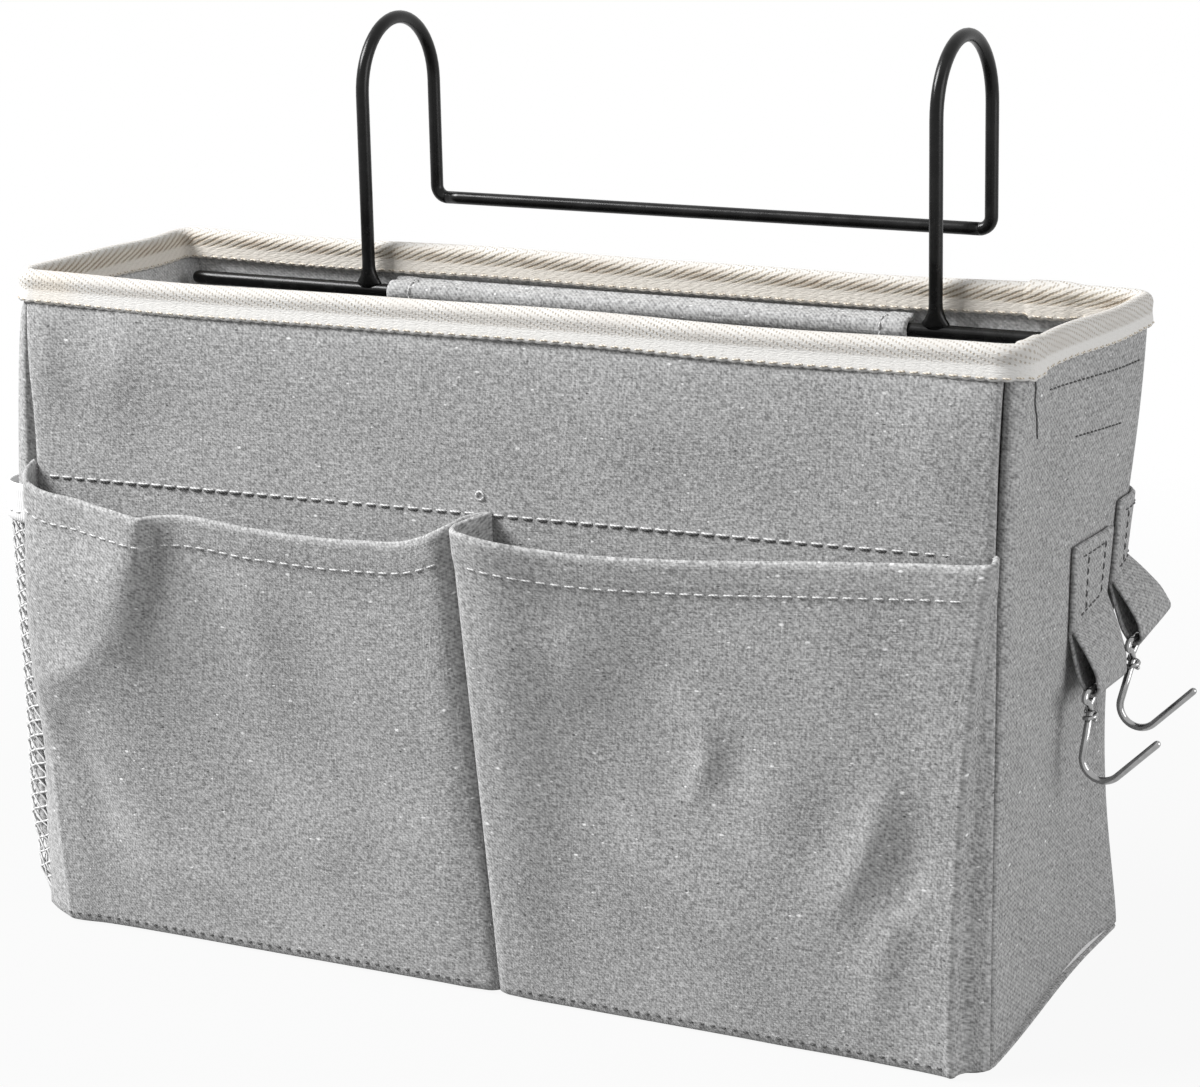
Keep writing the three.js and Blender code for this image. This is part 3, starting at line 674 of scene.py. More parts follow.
# The lining's paler tones are partly painted light, brightening the shaded inside of the bag
LINING_CLOTH = canvas_material("lining_cloth", 0.36, 0.72)
TAPE_CLOTH = tape_material()
LIGHT_THREAD = thread_material("pale_thread", grey(0.74), grey(0.46))
TAPE_THREAD = thread_material("cream_thread", (0.78, 0.73, 0.64, 1), (0.42, 0.36, 0.28, 1))
DARK_THREAD = thread_material("dark_thread", grey(0.12), grey(0.04))
NET_CORD = net_material()
ELASTIC = elastic_material()
PAINT = paint_material()
CHROME = chrome_material()
BOARD = board_material()
PILE = fastener_material()

# Rows of stitches: the thread, the pitch, the length of a stitch and the thread's radius
TAPE_STITCH = (TAPE_THREAD, TAPE_PITCH, 3, 0.26)
PANEL_STITCH = (LIGHT_THREAD, 5.5, 4.5, 0.36)
# A dark row just under the panel stitches: the painted shadow of those stitches, not a row of its own
PANEL_PAINTED_SHADOW = (DARK_THREAD, 5.5, 4.6, 0.3)
HEM_STITCH = (LIGHT_THREAD, 5, 3.8, 0.32)
FOOT_STITCH = (DARK_THREAD, 4, 1.8, 0.34)
NET_STITCH = (LIGHT_THREAD, 5, 3.4, 0.26)
SIDE_STITCH = (DARK_THREAD, 2.9, 1.2, 0.3)
STRAP_STITCH = (DARK_THREAD, 3.8, 2.6, 0.3)
FLAP_STITCH = (LIGHT_THREAD, 3.6, 2.6, 0.24)


# The bag's outline


def half_width(z):
    return BASE_HALF_WIDTH + (RIM_HALF_WIDTH - BASE_HALF_WIDTH) * z / BAG_HEIGHT


def half_depth(z):
    return BASE_HALF_DEPTH + (RIM_HALF_DEPTH - BASE_HALF_DEPTH) * z / BAG_HEIGHT


def slack(z):
    """How loose the cloth is at a height: none at the foot and the rim, most two fifths of the way up."""
    return np.sin(np.pi * np.clip(z / BAG_HEIGHT, 0, 1) ** 0.72) ** 2


def back_corner(z):
    return CORNER + BACK_CORNER_SLACK * slack(z)


def front_seam(z):
    """The share of a front corner that the front panel takes."""
    return SEAM_AT_FOOT + (SEAM_AT_RIM - SEAM_AT_FOOT) * np.clip(z / BAG_HEIGHT, 0, 1)


def back_seam(z):
    """The share of a back corner that the side panel takes."""
    return np.arccos(1 - CORNER / back_corner(z)) / (np.pi / 2)


def settle(x, y, z):
    """The x at which the slack cloth lies: sides sunk in at the back, front sheared, feet spread out."""
    height = np.clip(z / BAG_HEIGHT, 0, 1)
    to_back = smoothstep(-0.6, 1.0, y / half_depth(z))
    to_front = smoothstep(0.6, -1.0, y / half_depth(z))
    by_side = smoothstep(half_width(z) - SLACK_REACH, half_width(z) - CORNER, np.abs(x))
    spread = np.where(x > 0, RIGHT_FOOT_SPREAD, LEFT_FOOT_SPREAD) * (1 - height) ** 2 * to_front
    outwards = spread + BACK_RIM_SPREAD * height * to_back - SIDE_SINK * slack(z) * to_back
    return x + np.sign(x) * by_side * outwards + FRONT_RIM_SHIFT * height * to_front


def outline(stretch, t, z, side, face):
    """x and y on one stretch of the bag's outline at height z, moved in by side and face."""
    if stretch.endswith("left"):
        x, y = outline(stretch.replace("left", "right"), 1 - t, z, side, face)
        return -x, y
    width, depth = half_width(z) - side, half_depth(z) - face
    front, back = CORNER - side, back_corner(z) - side
    quarter = np.pi / 2 * t
    if stretch == "front":
        return (2 * t - 1) * (width - front), -depth + 0 * t
    if stretch == "front_right":
        return width - front + front * np.sin(quarter), -depth + front - front * np.cos(quarter)
    if stretch == "right":
        return width + 0 * t, -depth + front + t * (2 * depth - front - back)
    if stretch == "back_right":
        return width - back + back * np.cos(quarter), depth - back + back * np.sin(quarter)
    return (1 - 2 * t) * (width - back), depth + 0 * t


def wall(stretches, z, side=CANVAS / 2, face=CANVAS / 2):
    """A grid of points on the wall; z and the insets run down the rows, the stretches across them."""
    z, side, face = (np.reshape(value, (-1, 1)) for value in (z, side, face))
    columns = []
    for name, t in stretches:
        x, y = outline(name, t, z, side, face)
        columns.append(np.stack(np.broadcast_arrays(x, y, z + 0 * x), axis=-1))
    grid = np.concatenate(columns, axis=1)
    grid[..., 0] = settle(*axes(grid))
    return grid


def steps(count):
    return np.linspace(0, 1, count + 1)[1:]


def from_seam(count):
    """Steps from 0 to 1 that are closest at the seam where they start."""
    return np.linspace(0, 1, count + 1) ** 2


def to_seam(count):
    """Steps to 1 that are closest at the seam where they end."""
    return (1 - from_seam(count)[::-1])[1:]


LOOP = ("front", "front_right", "right", "back_right", "back", "back_left", "left", "front_left")
SIDE_STEP_SHARE = 0.27
CORNER_STEPS = 10


def loop_stretches(long_steps):
    """The whole outline, with that many steps along the front and the back."""
    side_steps = int(long_steps * SIDE_STEP_SHARE)
    counts = {"front": long_steps, "back": long_steps, "left": side_steps, "right": side_steps}
    return [(name, steps(counts.get(name, CORNER_STEPS))) for name in LOOP]


# Folds and unevenness


def dip_at_seams(grid):
    """Draws the cloth in along its two upright edges, where it is sewn."""
    lengths = np.linalg.norm(np.diff(grid, axis=1), axis=2)
    first = np.concatenate([np.zeros((len(grid), 1)), np.cumsum(lengths, axis=1)], axis=1)
    nearest = np.minimum(first, first[:, -1:] - first)
    wide = SEAM_WIDTH * (2 - np.clip(grid[..., 2] / BAG_HEIGHT, 0, 1))
    dip = SEAM_DIP * np.exp(-((nearest / wide) ** 4))
    return grid - grid_normals(grid) * dip[..., None]


def ripple(a, b, uneven):
    """Gentle unevenness over two lengths, up to a height either way."""
    height, size, seed = uneven
    phases = np.random.default_rng(seed).uniform(0, 2 * np.pi, 6)
    waves = np.sin(a / size + phases[0] + 0.8 * np.sin(b / size * 0.7 + phases[1]))
    waves = waves + 0.7 * np.sin(b / size * 1.3 + phases[2] + 0.9 * np.sin(a / size * 0.6 + phases[3]))
    waves = waves + 0.5 * np.sin((a + b) / size * 1.9 + phases[4])
    return height * (waves / 2.2)


CREASE_STEPS = 90

# The creases of each cloth: the width, the rise (sunk where it is below zero) and points (x, z)
FRONT_CREASES = (
    (7, 1.6, (-181, 217), (-180, 186)),
    (11, 1.8, (-146, 217), (-150, 186)),
    (14, 2.2, (150, 216), (170, 172)),
    (22, 0.8, (40, 212), (60, 176)),
)
RIGHT_CREASES = (
    (4.5, 2.4, (78, 114), (89, 97), (84, 80)),
    (12, -1.6, (99, 108), (102, 80)),
    (12, 3.4, (60, 80), (68, 60), (88, 41), (116, 14)),
    (6, 2.6, (151, 94), (146, 74), (135, 50)),
    (12, -1.4, (132, 88), (122, 58)),
    (9, -1.7, (159, 80), (156, 46)),
    (7, 2.0, (162, 58), (151, 38), (148, 14)),
    (13, 2.2, (40, 138), (43, 104)),
)
LEFT_CREASES = (
    (24, 3.4, (-138, 146), (-144, 100)),
    (8, 1.4, (-130, 150), (-138, 108)),
    (7, -2.2, (-120, 150), (-126, 112)),
    (9, 2.4, (-145, 106), (-160, 94), (-176, 86)),
    (10, -4.6, (-172, 78), (-159, 58), (-143, 32)),
    (1.7, 1.0, (-164.4, 2), (-172.4, 56)),
    (14, 1.6, (-84, 142), (-80, 76)),
    (16, 1.4, (-40, 136), (-34, 60)),
    (12, 1.4, (-74, 60), (-50, 34)),
    (9, 1.0, (-130, 28), (-90, 18)),
)


def press(grid, creases):
    """Raises soft creases on a front-facing grid, each strongest half way along."""
    for width, rise, *points in creases:
        path = spline(points, [CREASE_STEPS] * (len(points) - 1))
        apart = np.linalg.norm(grid[..., (0, 2)][..., None, :] - path, axis=-1)
        taper = 0.35 + 0.65 * np.sin(np.pi * apart.argmin(-1) / (len(path) - 1))
        grid[..., 1] -= rise * taper * np.exp(-((apart.min(-1) / width) ** 1.5))


# Canvas shell


# The front's rise below the tape, with the heights where it starts, is full, fades and ends
BELOW_TAPE_RISE = 1.5
BELOW_TAPE = (170, 206, TAPE_EDGE - 4, TAPE_EDGE + 3)
LINING_HANG = 0.35
BASE_INSET = 0.6


def panel_rows(count):
    return np.linspace(PANEL_FOOT, PANEL_TOP, count)


def face_stretches(first, flat, last, share, count):
    """The front or the back, with its share of the corner at either end."""
    share = share[:, None]
    return [(first, 1 - share * (1 - from_seam(8))), (flat, steps(count)), (last, share * to_seam(8))]


def front_panel():
    heights = panel_rows(64)
    grid = wall(face_stretches("front_left", "front", "front_right", front_seam(heights), 120), heights)
    x, y, z = axes(grid)
    y -= ripple(x, z, FRONT_UNEVEN) + BELOW_TAPE_RISE * band(z, *BELOW_TAPE)
    press(grid, FRONT_CREASES)
    return sheet("front_cloth", dip_at_seams(grid), CANVAS, CANVAS_CLOTH)


def back_panel():
    heights = panel_rows(48)
    grid = wall(face_stretches("back_right", "back", "back_left", 1 - back_seam(heights), 90), heights)
    x, y, z = axes(grid)
    y += ripple(x, z, BACK_UNEVEN)
    return sheet("back_cloth", dip_at_seams(grid), CANVAS, CANVAS_CLOTH)


def loose(y, z):
    """How free a side's cloth is, from 0 at its corners to 1 half way between them."""
    return np.clip(1 - (y / half_depth(z)) ** 2, 0, 1)


def side_relief(y, z, uneven):
    """How far a side's loose cloth stands out of its plane."""
    return loose(y, z) * ripple(y, z, uneven)


def swell(y, z):
    """How far the left side's loose cloth swells out behind its front seam."""
    seam = CORNER * (1 - np.cos(np.pi / 2 * front_seam(z))) - half_depth(z)
    from_front = np.clip((y - seam) / SWELL_RUN, 0, 1)
    to_back = smoothstep(half_depth(z), half_depth(z) - SWELL_BACK, y)
    upright = smoothstep(*SWELL_FOOT, z) * np.sqrt(np.clip((TAPE_EDGE - z) / SWELL_FALL, 0, 1))
    return SWELL * np.sqrt(1 - (1 - from_front) ** 2) * to_back * upright


def side_panel(name, way, uneven, arch):
    """A side of the bag, the right one if way is 1; its foot arches up a little between the corners."""
    heights = panel_rows(56)
    front, back = front_seam(heights)[:, None], back_seam(heights)[:, None]
    corner = ("front_right", front + (1 - front) * from_seam(9))
    stretches = [corner, ("right", steps(44)), ("back_right", back * to_seam(10))]
    if way < 0:
        stretches = [(part.replace("right", "left"), 1 - t[..., ::-1]) for part, t in reversed(stretches)]
    grid = wall(stretches, heights)
    x, y, z = axes(grid)
    x += way * side_relief(y, z, uneven)
    if way < 0:
        x -= swell(y, z)
    z += arch * loose(y, z) * (1 - z / BAG_HEIGHT) ** 3
    return sheet(name, dip_at_seams(grid), CANVAS, CANVAS_CLOTH)


def floor_grid(z, inset, way):
    """A rounded oblong at the bag's foot, as rows from front to back, or from back to front if way is -1."""
    width, depth = half_width(0) - inset, half_depth(0) - inset
    bend = depth - CORNER * (1 - np.sin(np.linspace(0, np.pi / 2, 6)))
    y = np.concatenate([-bend[::-1], np.linspace(CORNER - depth, depth - CORNER, 26)[1:-1], bend])[::way]
    past = np.clip(np.abs(y) - (depth - CORNER), 0, CORNER)
    reach = width - CORNER + np.sqrt(CORNER**2 - past**2)
    x = np.linspace(-1, 1, 70)[None, :] * reach[:, None]
    y = np.broadcast_to(y[:, None], x.shape)
    lowest = np.full(x.shape, z)
    return np.stack([settle(x, y, lowest), y, lowest], axis=-1)


FLOOR_CLOTH_START = 500


def base_panel():
    grid = floor_grid(CANVAS / 2, BASE_INSET, -1)
    return sheet("base_cloth", grid, CANVAS, CANVAS_CLOTH, uv=grid[..., :2] + FLOOR_CLOTH_START)


def lining():
    """The lining's walls, from under the tape down to the floor."""
    heights = np.linspace(PANEL_TOP, LINING_FLOOR + LINING_FOOT_GAP, 44)
    grid = wall(loop_stretches(84), heights, LINING_AT_SIDES, LINING_AT_FACES)
    x, y, z = axes(grid)
    hang = LINING_HANG * np.sin(np.pi * z / BAG_HEIGHT) * (1 + ripple(x + y, z, LINING_UNEVEN))
    grid[..., :2] -= unit(grid[..., :2]) * hang[..., None]
    return sheet("lining_walls", grid, LINING, LINING_CLOTH, closed=True)


def lining_floor():
    grid = floor_grid(LINING_FLOOR, LINING_AT_FACES + LINING_EDGE_GAP, 1)
    x, y, z = axes(grid)
    z += ripple(x, y, FLOOR_UNEVEN)
    return sheet("lining_floor", grid, LINING, LINING_CLOTH, uv=grid[..., :2] + FLOOR_CLOTH_START)


# Rim tape


TAPE_ROWS = 14
TAPE_TURN_ROWS = 9

# How far the tape stands off the rim at shares of its height
PUFF_AT = (0, 0.1, 0.4, 0.5, 0.72, 1)
PUFF = (0.8, 0.78, 0.28, 0.26, 0.45, 0)


def tape_section():
    """The tape's fold as insets at the sides, insets at the faces and heights, from outside to inside."""
    outside = -(TAPE / 2 + TAPE_GAP)
    at_sides = LINING_AT_SIDES + LINING / 2 - outside
    at_faces = LINING_AT_FACES + LINING / 2 - outside
    top = RIM_TOP - TAPE / 2
    bend = (at_faces - outside) / 2
    up = np.linspace(TAPE_EDGE, top - bend, TAPE_ROWS)
    turn = np.linspace(0, np.pi, TAPE_TURN_ROWS + 2)[1:-1]
    share = np.concatenate([0 * up, (1 - np.cos(turn)) / 2, 0 * up + 1])
    heights = np.concatenate([up, top - bend + bend * np.sin(turn), up[::-1]])
    return outside + share * (at_sides - outside), outside + share * (at_faces - outside), heights


def tape_grid():
    sides, faces, heights = tape_section()
    grid = wall(loop_stretches(360), heights, sides, faces)
    scallop = np.abs(np.sin(np.pi * travelled(grid[TAPE_ROWS]) / TAPE_PITCH))
    pull = np.clip((TAPE_EDGE + TAPE_PULL - heights) / TAPE_PULL, 0, 1)[:, None]
    x, y, z = axes(grid)
    z += ripple(x[TAPE_ROWS], y[TAPE_ROWS] * 2, TAPE_UNEVEN) + TAPE_SCALLOP * pull * (1 - scallop)
    puff = np.interp((heights - TAPE_EDGE) / (RIM_TOP - TAPE_EDGE), PUFF_AT, PUFF)
    puff = puff[:, None] * (0.8 + 0.2 * scallop)
    on_right = x > half_width(BAG_HEIGHT) - CORNER
    lap = on_right * band(y, *SIDE_LAP) + (y > 0) * band(x, *BACK_LAP)
    z -= LAP_DROP * pull * lap
    return grid + grid_normals(grid, True) * (puff + LAP_RISE * lap)[..., None]


def rim_tape():
    grid = tape_grid()
    made = sheet("rim_tape", grid, TAPE, TAPE_CLOTH, closed=True)
    out = grid_normals(grid, True)
    whole_ring = np.append(np.arange(grid.shape[1]), 0)
    rows = []
    for name, row in (("outer", 1), ("inner", -2)):
        normal = out[row, whole_ring]
        path = grid[row, whole_ring] + normal * TAPE / 2
        rows.append(stitch_row("tape_stitches_" + name, path, normal, TAPE_STITCH, slot="tape"))
    return made, rows


# Front pockets


# Each pocket's mouth and sewn foot: points (x, distance off the front panel, z), and the steps between them
RIGHT_MOUTH = (
    (1.2, 0.8, 162.5), (-1.6, 12, 162), (-3, 18.2, 161.4), (-1, 21.6, 160.9), (5, 23.4, 160.2),
    (35, 20.5, 157), (75, 17, 157.5), (120, 12.5, 160.5), (160, 9.2, 163),
    (178.6, 8.2, 164.2), (180.9, 7.9, 164.5), (181.6, 7.1, 164.6), (181.7, 5.4, 165),
)
RIGHT_FOOT = (
    (11.5, 0.8, 1.5), (10.6, 2, 1.5), (10.8, 3.2, 1.5), (12.6, 4.2, 1.4), (18, 4.8, 1.3),
    (40, 4.6, 1), (78, 4.6, 1), (118, 4.6, 1), (155, 5, 0.9),
    (173.2, 6.2, 0.9), (175.1, 6.5, 0.9), (175.8, 5.9, 1), (176.2, 4.2, 1.2),
)
RIGHT_STEPS = (6, 7, 5, 5, 14, 16, 18, 16, 14, 5, 4, 4, 6)
RIGHT_HEIGHT = 165
RIGHT_SEAM_TOP = 165.5
RIGHT_SEAM_PROUD = 1.1
LEFT_MOUTH = (
    (-185, 6, 162), (-183.4, 9.2, 160.2), (-182, 10.4, 159), (-179, 11.4, 157.8),
    (-155.5, 15.6, 155.4), (-131, 16.1, 153), (-127, 16.2, 152.6), (-123.5, 16.2, 153), (-113, 16.4, 153.8),
    (-83, 17, 152.4), (-40, 18, 152.6), (-18, 19.2, 155.4),
    (-8.8, 19.2, 159.4), (-5, 16.6, 161.4), (-3.9, 8, 162.2), (0.2, 0.8, 162.4),
)
LEFT_FOOT = (
    (-173, 2.2, 1.4), (-168, 4.6, 1.2), (-165.2, 6, 1.2), (-163.8, 6.3, 1.2),
    (-150, 5.2, 1.2), (-136, 4.7, 1.2), (-130, 4.7, 1.2), (-124, 4.6, 1.2), (-113, 4.6, 1.2),
    (-83, 4.6, 1.2), (-40, 4.4, 1.2), (-14, 4.2, 1.2),
    (2, 4, 1.2), (7.6, 3.3, 1.3), (9.4, 2, 1.4), (10.6, 0.8, 1.5),
)
LEFT_STEPS = (6, 5, 4, 4, 10, 10, 4, 4, 6, 12, 16, 10, 8, 6, 6, 6)
LEFT_HEIGHT = 160
LEFT_SEAM_TOP = 163.5
LEFT_SEAM_PROUD = 0.9
SEAM_FOOT = 1.5
SEAM_MARGIN = 0.06

# The pockets' bulges and drawn-in ends. A span is where a fold starts, is full, fades and ends along x.
# An end is drawn in over a stretch of x, and as the cloth comes clear of the panel.
RIGHT_UNEVEN_SPAN = (8, 40, 140, 174)
RIGHT_BELLY = 2.4
RIGHT_BELLY_SPAN = (70, 118, 124, 172)
RIGHT_HOLLOW_SPAN = (12, 44, 60, 110)
RIGHT_END = (150, 174)
RIGHT_END_CLEAR = (-0.2, 2)
RIGHT_END_DRAW = 3.6
LEFT_HOLLOW = 3
LEFT_HOLLOW_SPAN = (-130, -100, -40, -4)
LEFT_HOLLOW_SPREAD = 34
LEFT_END = (-146, -168)
LEFT_END_CLEAR = (0.5, 5)
LEFT_END_DRAW = 4

# The kink below the left pocket's mouth: its foot and top, its lean, and its rise at places along x
KINK_FOOT, KINK_TOP = 84, 150
KINK_LEAN = 0.15
KINK_AT = (-155, -131, -127, -123.5, -113, -83)
KINK = (0, 3.5, 3.9, 1.4, -0.8, 0)


def on_front(x, off, z):
    return (x, -half_depth(z) - off, z)


def front_seam_point(way, z, proud):
    """Just in front of the right front seam, or the left one if way is -1, proud of the panels."""
    x, y = outline("front_right", front_seam(z) - SEAM_MARGIN, z, -proud, -proud)
    return (settle(way * x, y, z), y, z)


def pocket_grid(way, mouth, foot, counts, seam_top, proud):
    """A cloth ruled between its sewn foot and its open mouth, with one edge in a front seam."""
    edges = []
    for places, seam_height in ((foot, SEAM_FOOT), (mouth, seam_top)):
        points = [on_front(*place) for place in places]
        points.insert(len(points) if way > 0 else 0, front_seam_point(way, seam_height, proud))
        edges.append(spline(points, counts))
    v = np.linspace(0, 1, POCKET_ROWS)[:, None, None]
    return edges[0] * (1 - v) + edges[1] * v


def stand_off(grid):
    """How far each point of a pocket stands off the front panel."""
    return -grid[..., 1] - half_depth(grid[..., 2])


def pouch(name, grid, first, last):
    """A pocket's cloth with its turned hem, the hem's stitches and the row that sews its foot down."""
    v = np.linspace(0, 1, POCKET_ROWS)[:, None]
    thickness = CANVAS * (1 + HEM_THICKENS * smoothstep(1 - HEM_SHARE - 0.01, 1 - HEM_SHARE, v))
    made = sheet(name + "_pouch", grid, thickness, CANVAS_CLOTH)
    hem = -1 - round(POCKET_ROWS * HEM_SHARE)
    return made, [
        sew(name + "_hem_stitches", grid, np.s_[hem, first:last], CANVAS * 0.6, HEM_STITCH),
        sew(name + "_foot_stitches", grid, np.s_[1, first:last], CANVAS / 2, FOOT_STITCH),
    ]


def right_pocket():
    grid = pocket_grid(1, RIGHT_MOUTH, RIGHT_FOOT, RIGHT_STEPS, RIGHT_SEAM_TOP, RIGHT_SEAM_PROUD)
    x, y, z = axes(grid)
    free = np.sin(np.pi * np.clip(z / RIGHT_HEIGHT, 0, 1))
    uneven = band(x, *RIGHT_UNEVEN_SPAN) * ripple(x, z, RIGHT_POCKET_UNEVEN)
    belly = RIGHT_BELLY * (band(x, *RIGHT_BELLY_SPAN) - band(x, *RIGHT_HOLLOW_SPAN))
    y -= free * (uneven + belly)
    by_end = smoothstep(*RIGHT_END, x) * smoothstep(*RIGHT_END_CLEAR, stand_off(grid))
    y -= free * by_end
    x -= RIGHT_END_DRAW * np.sqrt(free) * by_end
    press(grid, RIGHT_CREASES)
    return pouch("right", grid, 22, -18)


def left_pocket():
    grid = pocket_grid(-1, LEFT_MOUTH, LEFT_FOOT, LEFT_STEPS, LEFT_SEAM_TOP, LEFT_SEAM_PROUD)
    x, y, z = axes(grid)
    kink = np.interp(x + KINK_LEAN * (KINK_TOP - z), KINK_AT, KINK)
    y -= kink * smoothstep(KINK_FOOT, KINK_TOP, z)
    height = np.clip(z / LEFT_HEIGHT, 0, 1)
    spread = LEFT_HOLLOW_SPREAD * (1 - np.clip(z / KINK_TOP, 0, 1))
    start, full, fade, end = LEFT_HOLLOW_SPAN
    hollow = band(x, start - spread, full + spread, fade, end)
    y -= np.sin(np.pi * height) * hollow * (ripple(x, z, LEFT_POCKET_UNEVEN) - LEFT_HOLLOW)
    by_end = smoothstep(*LEFT_END, x) * smoothstep(*LEFT_END_CLEAR, stand_off(grid))
    x -= LEFT_END_DRAW * by_end * np.sin(np.pi * height**1.6) ** 1.5
    press(grid, LEFT_CREASES)
    return pouch("left", grid, 13, -18)


# The row above the pockets: its ends and heights there, and a knot of thread over it
PANEL_ROW = ((-180, 159), (177, 164.95))
PANEL_ROW_LIFT = 0.1
# How far below the stitches their painted shadow lies
PANEL_PAINTED_SHADOW_DROP = 0.6
KNOT_PLACE = (-3, 168)
KNOT_RADIUS = 1.4
KNOT_LIFT = 0.4
KNOT_THREAD = 0.4


def panel_stitches():
    """The row that sews the panel to its board, just above the pockets, a dark row under it that is its
    painted shadow, and a knot.
    """
    path = np.array([on_front(x, PANEL_ROW_LIFT, z) for x, z in np.linspace(*PANEL_ROW, 120)])
    rows = [
        stitch_row("panel_stitches", path, -Y, PANEL_STITCH),
        stitch_row("panel_stitch_painted_shadow", path - PANEL_PAINTED_SHADOW_DROP * Z, -Y, PANEL_PAINTED_SHADOW),
    ]
    turn = np.linspace(0, 2 * np.pi, 17)
    ring = [on_front(x, KNOT_LIFT, z) for x, z in arc(KNOT_PLACE, KNOT_RADIUS, X[:2], Y[:2], turn)]
    knot = dress(add_mesh("thread_knot", *tube(ring, KNOT_THREAD, 6), LIGHT_THREAD), "bag")
    return rows + [knot]


# Net pocket


NET_BULGE = (-low("net_pocket")[0] - half_width(NET_TOP * 0.9)) * NET_SHARE_OF_BULGE


def net_section(across):
    """The net's bulge across its width, as a share: nearly full until close to its sewn edges."""
    return np.sqrt(np.clip(1 - np.abs(across) ** 10, 0, 1))


def net_point(across, height, out=0.0):
    """A point on the net at a height: across from -1 at its front edge to 1 at its back one."""
    share = np.clip((height - NET_FOOT) / (NET_TOP - NET_FOOT), 0, 1.1)
    front, back = NET_FRONT_EDGE - half_depth(height), half_depth(height) - NET_BACK_EDGE
    y = front + (back - front) * (across + 1) / 2
    round_corner = CORNER - np.sqrt(CORNER**2 - np.clip(CORNER - y - half_depth(height), 0, CORNER) ** 2)
    x = settle(round_corner - half_width(height), y, height) - swell(y, height)
    bulge = np.maximum(NET_BULGE * share**0.2 - swell(0 * y, height), NET_LEAST_CLEAR)
    clear = bulge * np.minimum(1, share / 0.06) * net_section(across)
    return np.stack([x - NET_GAP - clear - out, y, height + 0 * y], axis=-1)


FINE_ACROSS = np.sin(np.linspace(-np.pi / 2, np.pi / 2, 241))
SECTION_LENGTHS = travelled(net_point(FINE_ACROSS, np.full(241, (NET_FOOT + NET_TOP) / 2)))


def net_strands():
    """Both ways of the diamond mesh, each strand from edge to edge, evenly spaced on the cloth."""
    length = SECTION_LENGTHS[-1]
    wide = round(length / NET_MESH)
    tall = round((NET_TOP - NET_FOOT) / NET_MESH)
    climb = np.arange(0, 4 * tall + 1) / 4
    paths = []
    for lean in (1, -1):
        for first in range(-tall, wide):
            place = (first + 0.5 + climb) / wide
            inside = (place >= 0) & (place <= 1)
            if inside.sum() < 3:
                continue
            across = lean * np.interp(place[inside] * length, SECTION_LENGTHS, FINE_ACROSS)
            paths.append(net_point(across, NET_FOOT + climb[inside] / tall * (NET_TOP - NET_FOOT)))
    return paths


def net_pocket():
    up = np.linspace(NET_FOOT, NET_TOP, 40)
    edges = [net_point(np.full(40, side), up) for side in (-1.0, 1.0)]
    edges.append(net_point(FINE_ACROSS[::4], np.full(61, NET_FOOT)))
    parts = [tube(path, NET_CORD_RADIUS, 5) for path in net_strands()]
    parts += [tube(path, NET_CORD_RADIUS * 1.2, 6) for path in edges]
    return add_mesh("net_mesh", *joined(parts), NET_CORD)


def net_hem():
    """The elastic band round the net's mouth."""
    heights = np.linspace(NET_TOP - ELASTIC_LAP, high("net_pocket_hem")[2] - ELASTIC_TRIM, 9)
    across = FINE_ACROSS[::-4]
    grid = np.stack([net_point(across, np.full(len(across), h), ELASTIC_OUT) for h in heights])
    made = sheet("net_hem_band", grid, ELASTIC_THICKNESS, ELASTIC)
    return made, [sew("net_hem_stitches", grid, 2, ELASTIC_THICKNESS / 2, NET_STITCH)]


# Key straps


def side_point(distance, z, out):
    """A point off the right side's cloth, at a distance from its middle round towards the back."""
    back = back_corner(z)
    straight = half_depth(z) - back
    turn = np.maximum(distance - straight, 0) / back
    x = half_width(z) - back * (1 - np.cos(turn)) + out * np.cos(turn)
    y = np.minimum(distance, straight) + (back + out) * np.sin(turn)
    return np.stack([settle(x, y, z) + side_relief(y, z, RIGHT_UNEVEN), y, z + 0 * y], axis=-1)


def strap_tab(name, front, back, top, foot_front, foot_back):
    """The part of a strap that is sewn flat to the side; its stitches make a box."""
    distance = np.linspace(front, back, STRAP_COLUMNS)
    foot = np.linspace(foot_front, foot_back, STRAP_COLUMNS)
    rises = np.linspace(0, 1, 16)
    grid = np.stack([side_point(distance, foot + (top - foot) * t, TAB_GAP + TAB / 2) for t in rises])
    made = sheet(name + "_strap_sewn", grid, TAB, CANVAS_CLOTH)
    lines = (np.s_[2:-1, 4], np.s_[2:-1, 10], np.s_[2, 2:-2], np.s_[-3, 2:-2])
    rows = [
        sew(f"{name}_strap_stitches_{k}", grid, line, TAB / 2, STRAP_STITCH)
        for k, line in enumerate(lines)
    ]
    return made, rows, grid[0]


def loop_leg(start, end, off, belly):
    """One leg of a strap's loop, from the tab's edge towards the fold, with a belly to one side."""
    places = ((0.0, 0.0), (0.2, 0.45), (0.4, 0.9), (0.6, 1.0), (0.8, 0.8))
    return [start + off * LOOP_CLOTH * 0.6 + (end - start) * t + off * belly * share for t, share in places]


def strap_loop(name, foot, front_eye, back_eye):
    """The hanging loop: down outside, round the hook's eye and up behind; foot is the tab's lower edge."""
    columns = []
    for point, eye in zip(foot, np.linspace(front_eye, back_eye, STRAP_COLUMNS)):
        eye[1] = point[1]
        down = unit(eye - point)
        off = unit(np.array((-down[2], 0, down[0])))
        bend = arc(eye, STRAP_FOLD, off, down, np.linspace(0, np.pi, 13))
        outer = loop_leg(point, bend[0], off, LOOP_BELLY_OUTSIDE)
        inner = loop_leg(point, bend[-1], -off, LOOP_BELLY_INSIDE)
        columns.append(spline([*outer, *bend, *inner[::-1]], [2] * 22))
    return sheet(name + "_strap_turned", np.stack(columns[::-1], axis=1), LOOP_CLOTH, CANVAS_CLOTH)


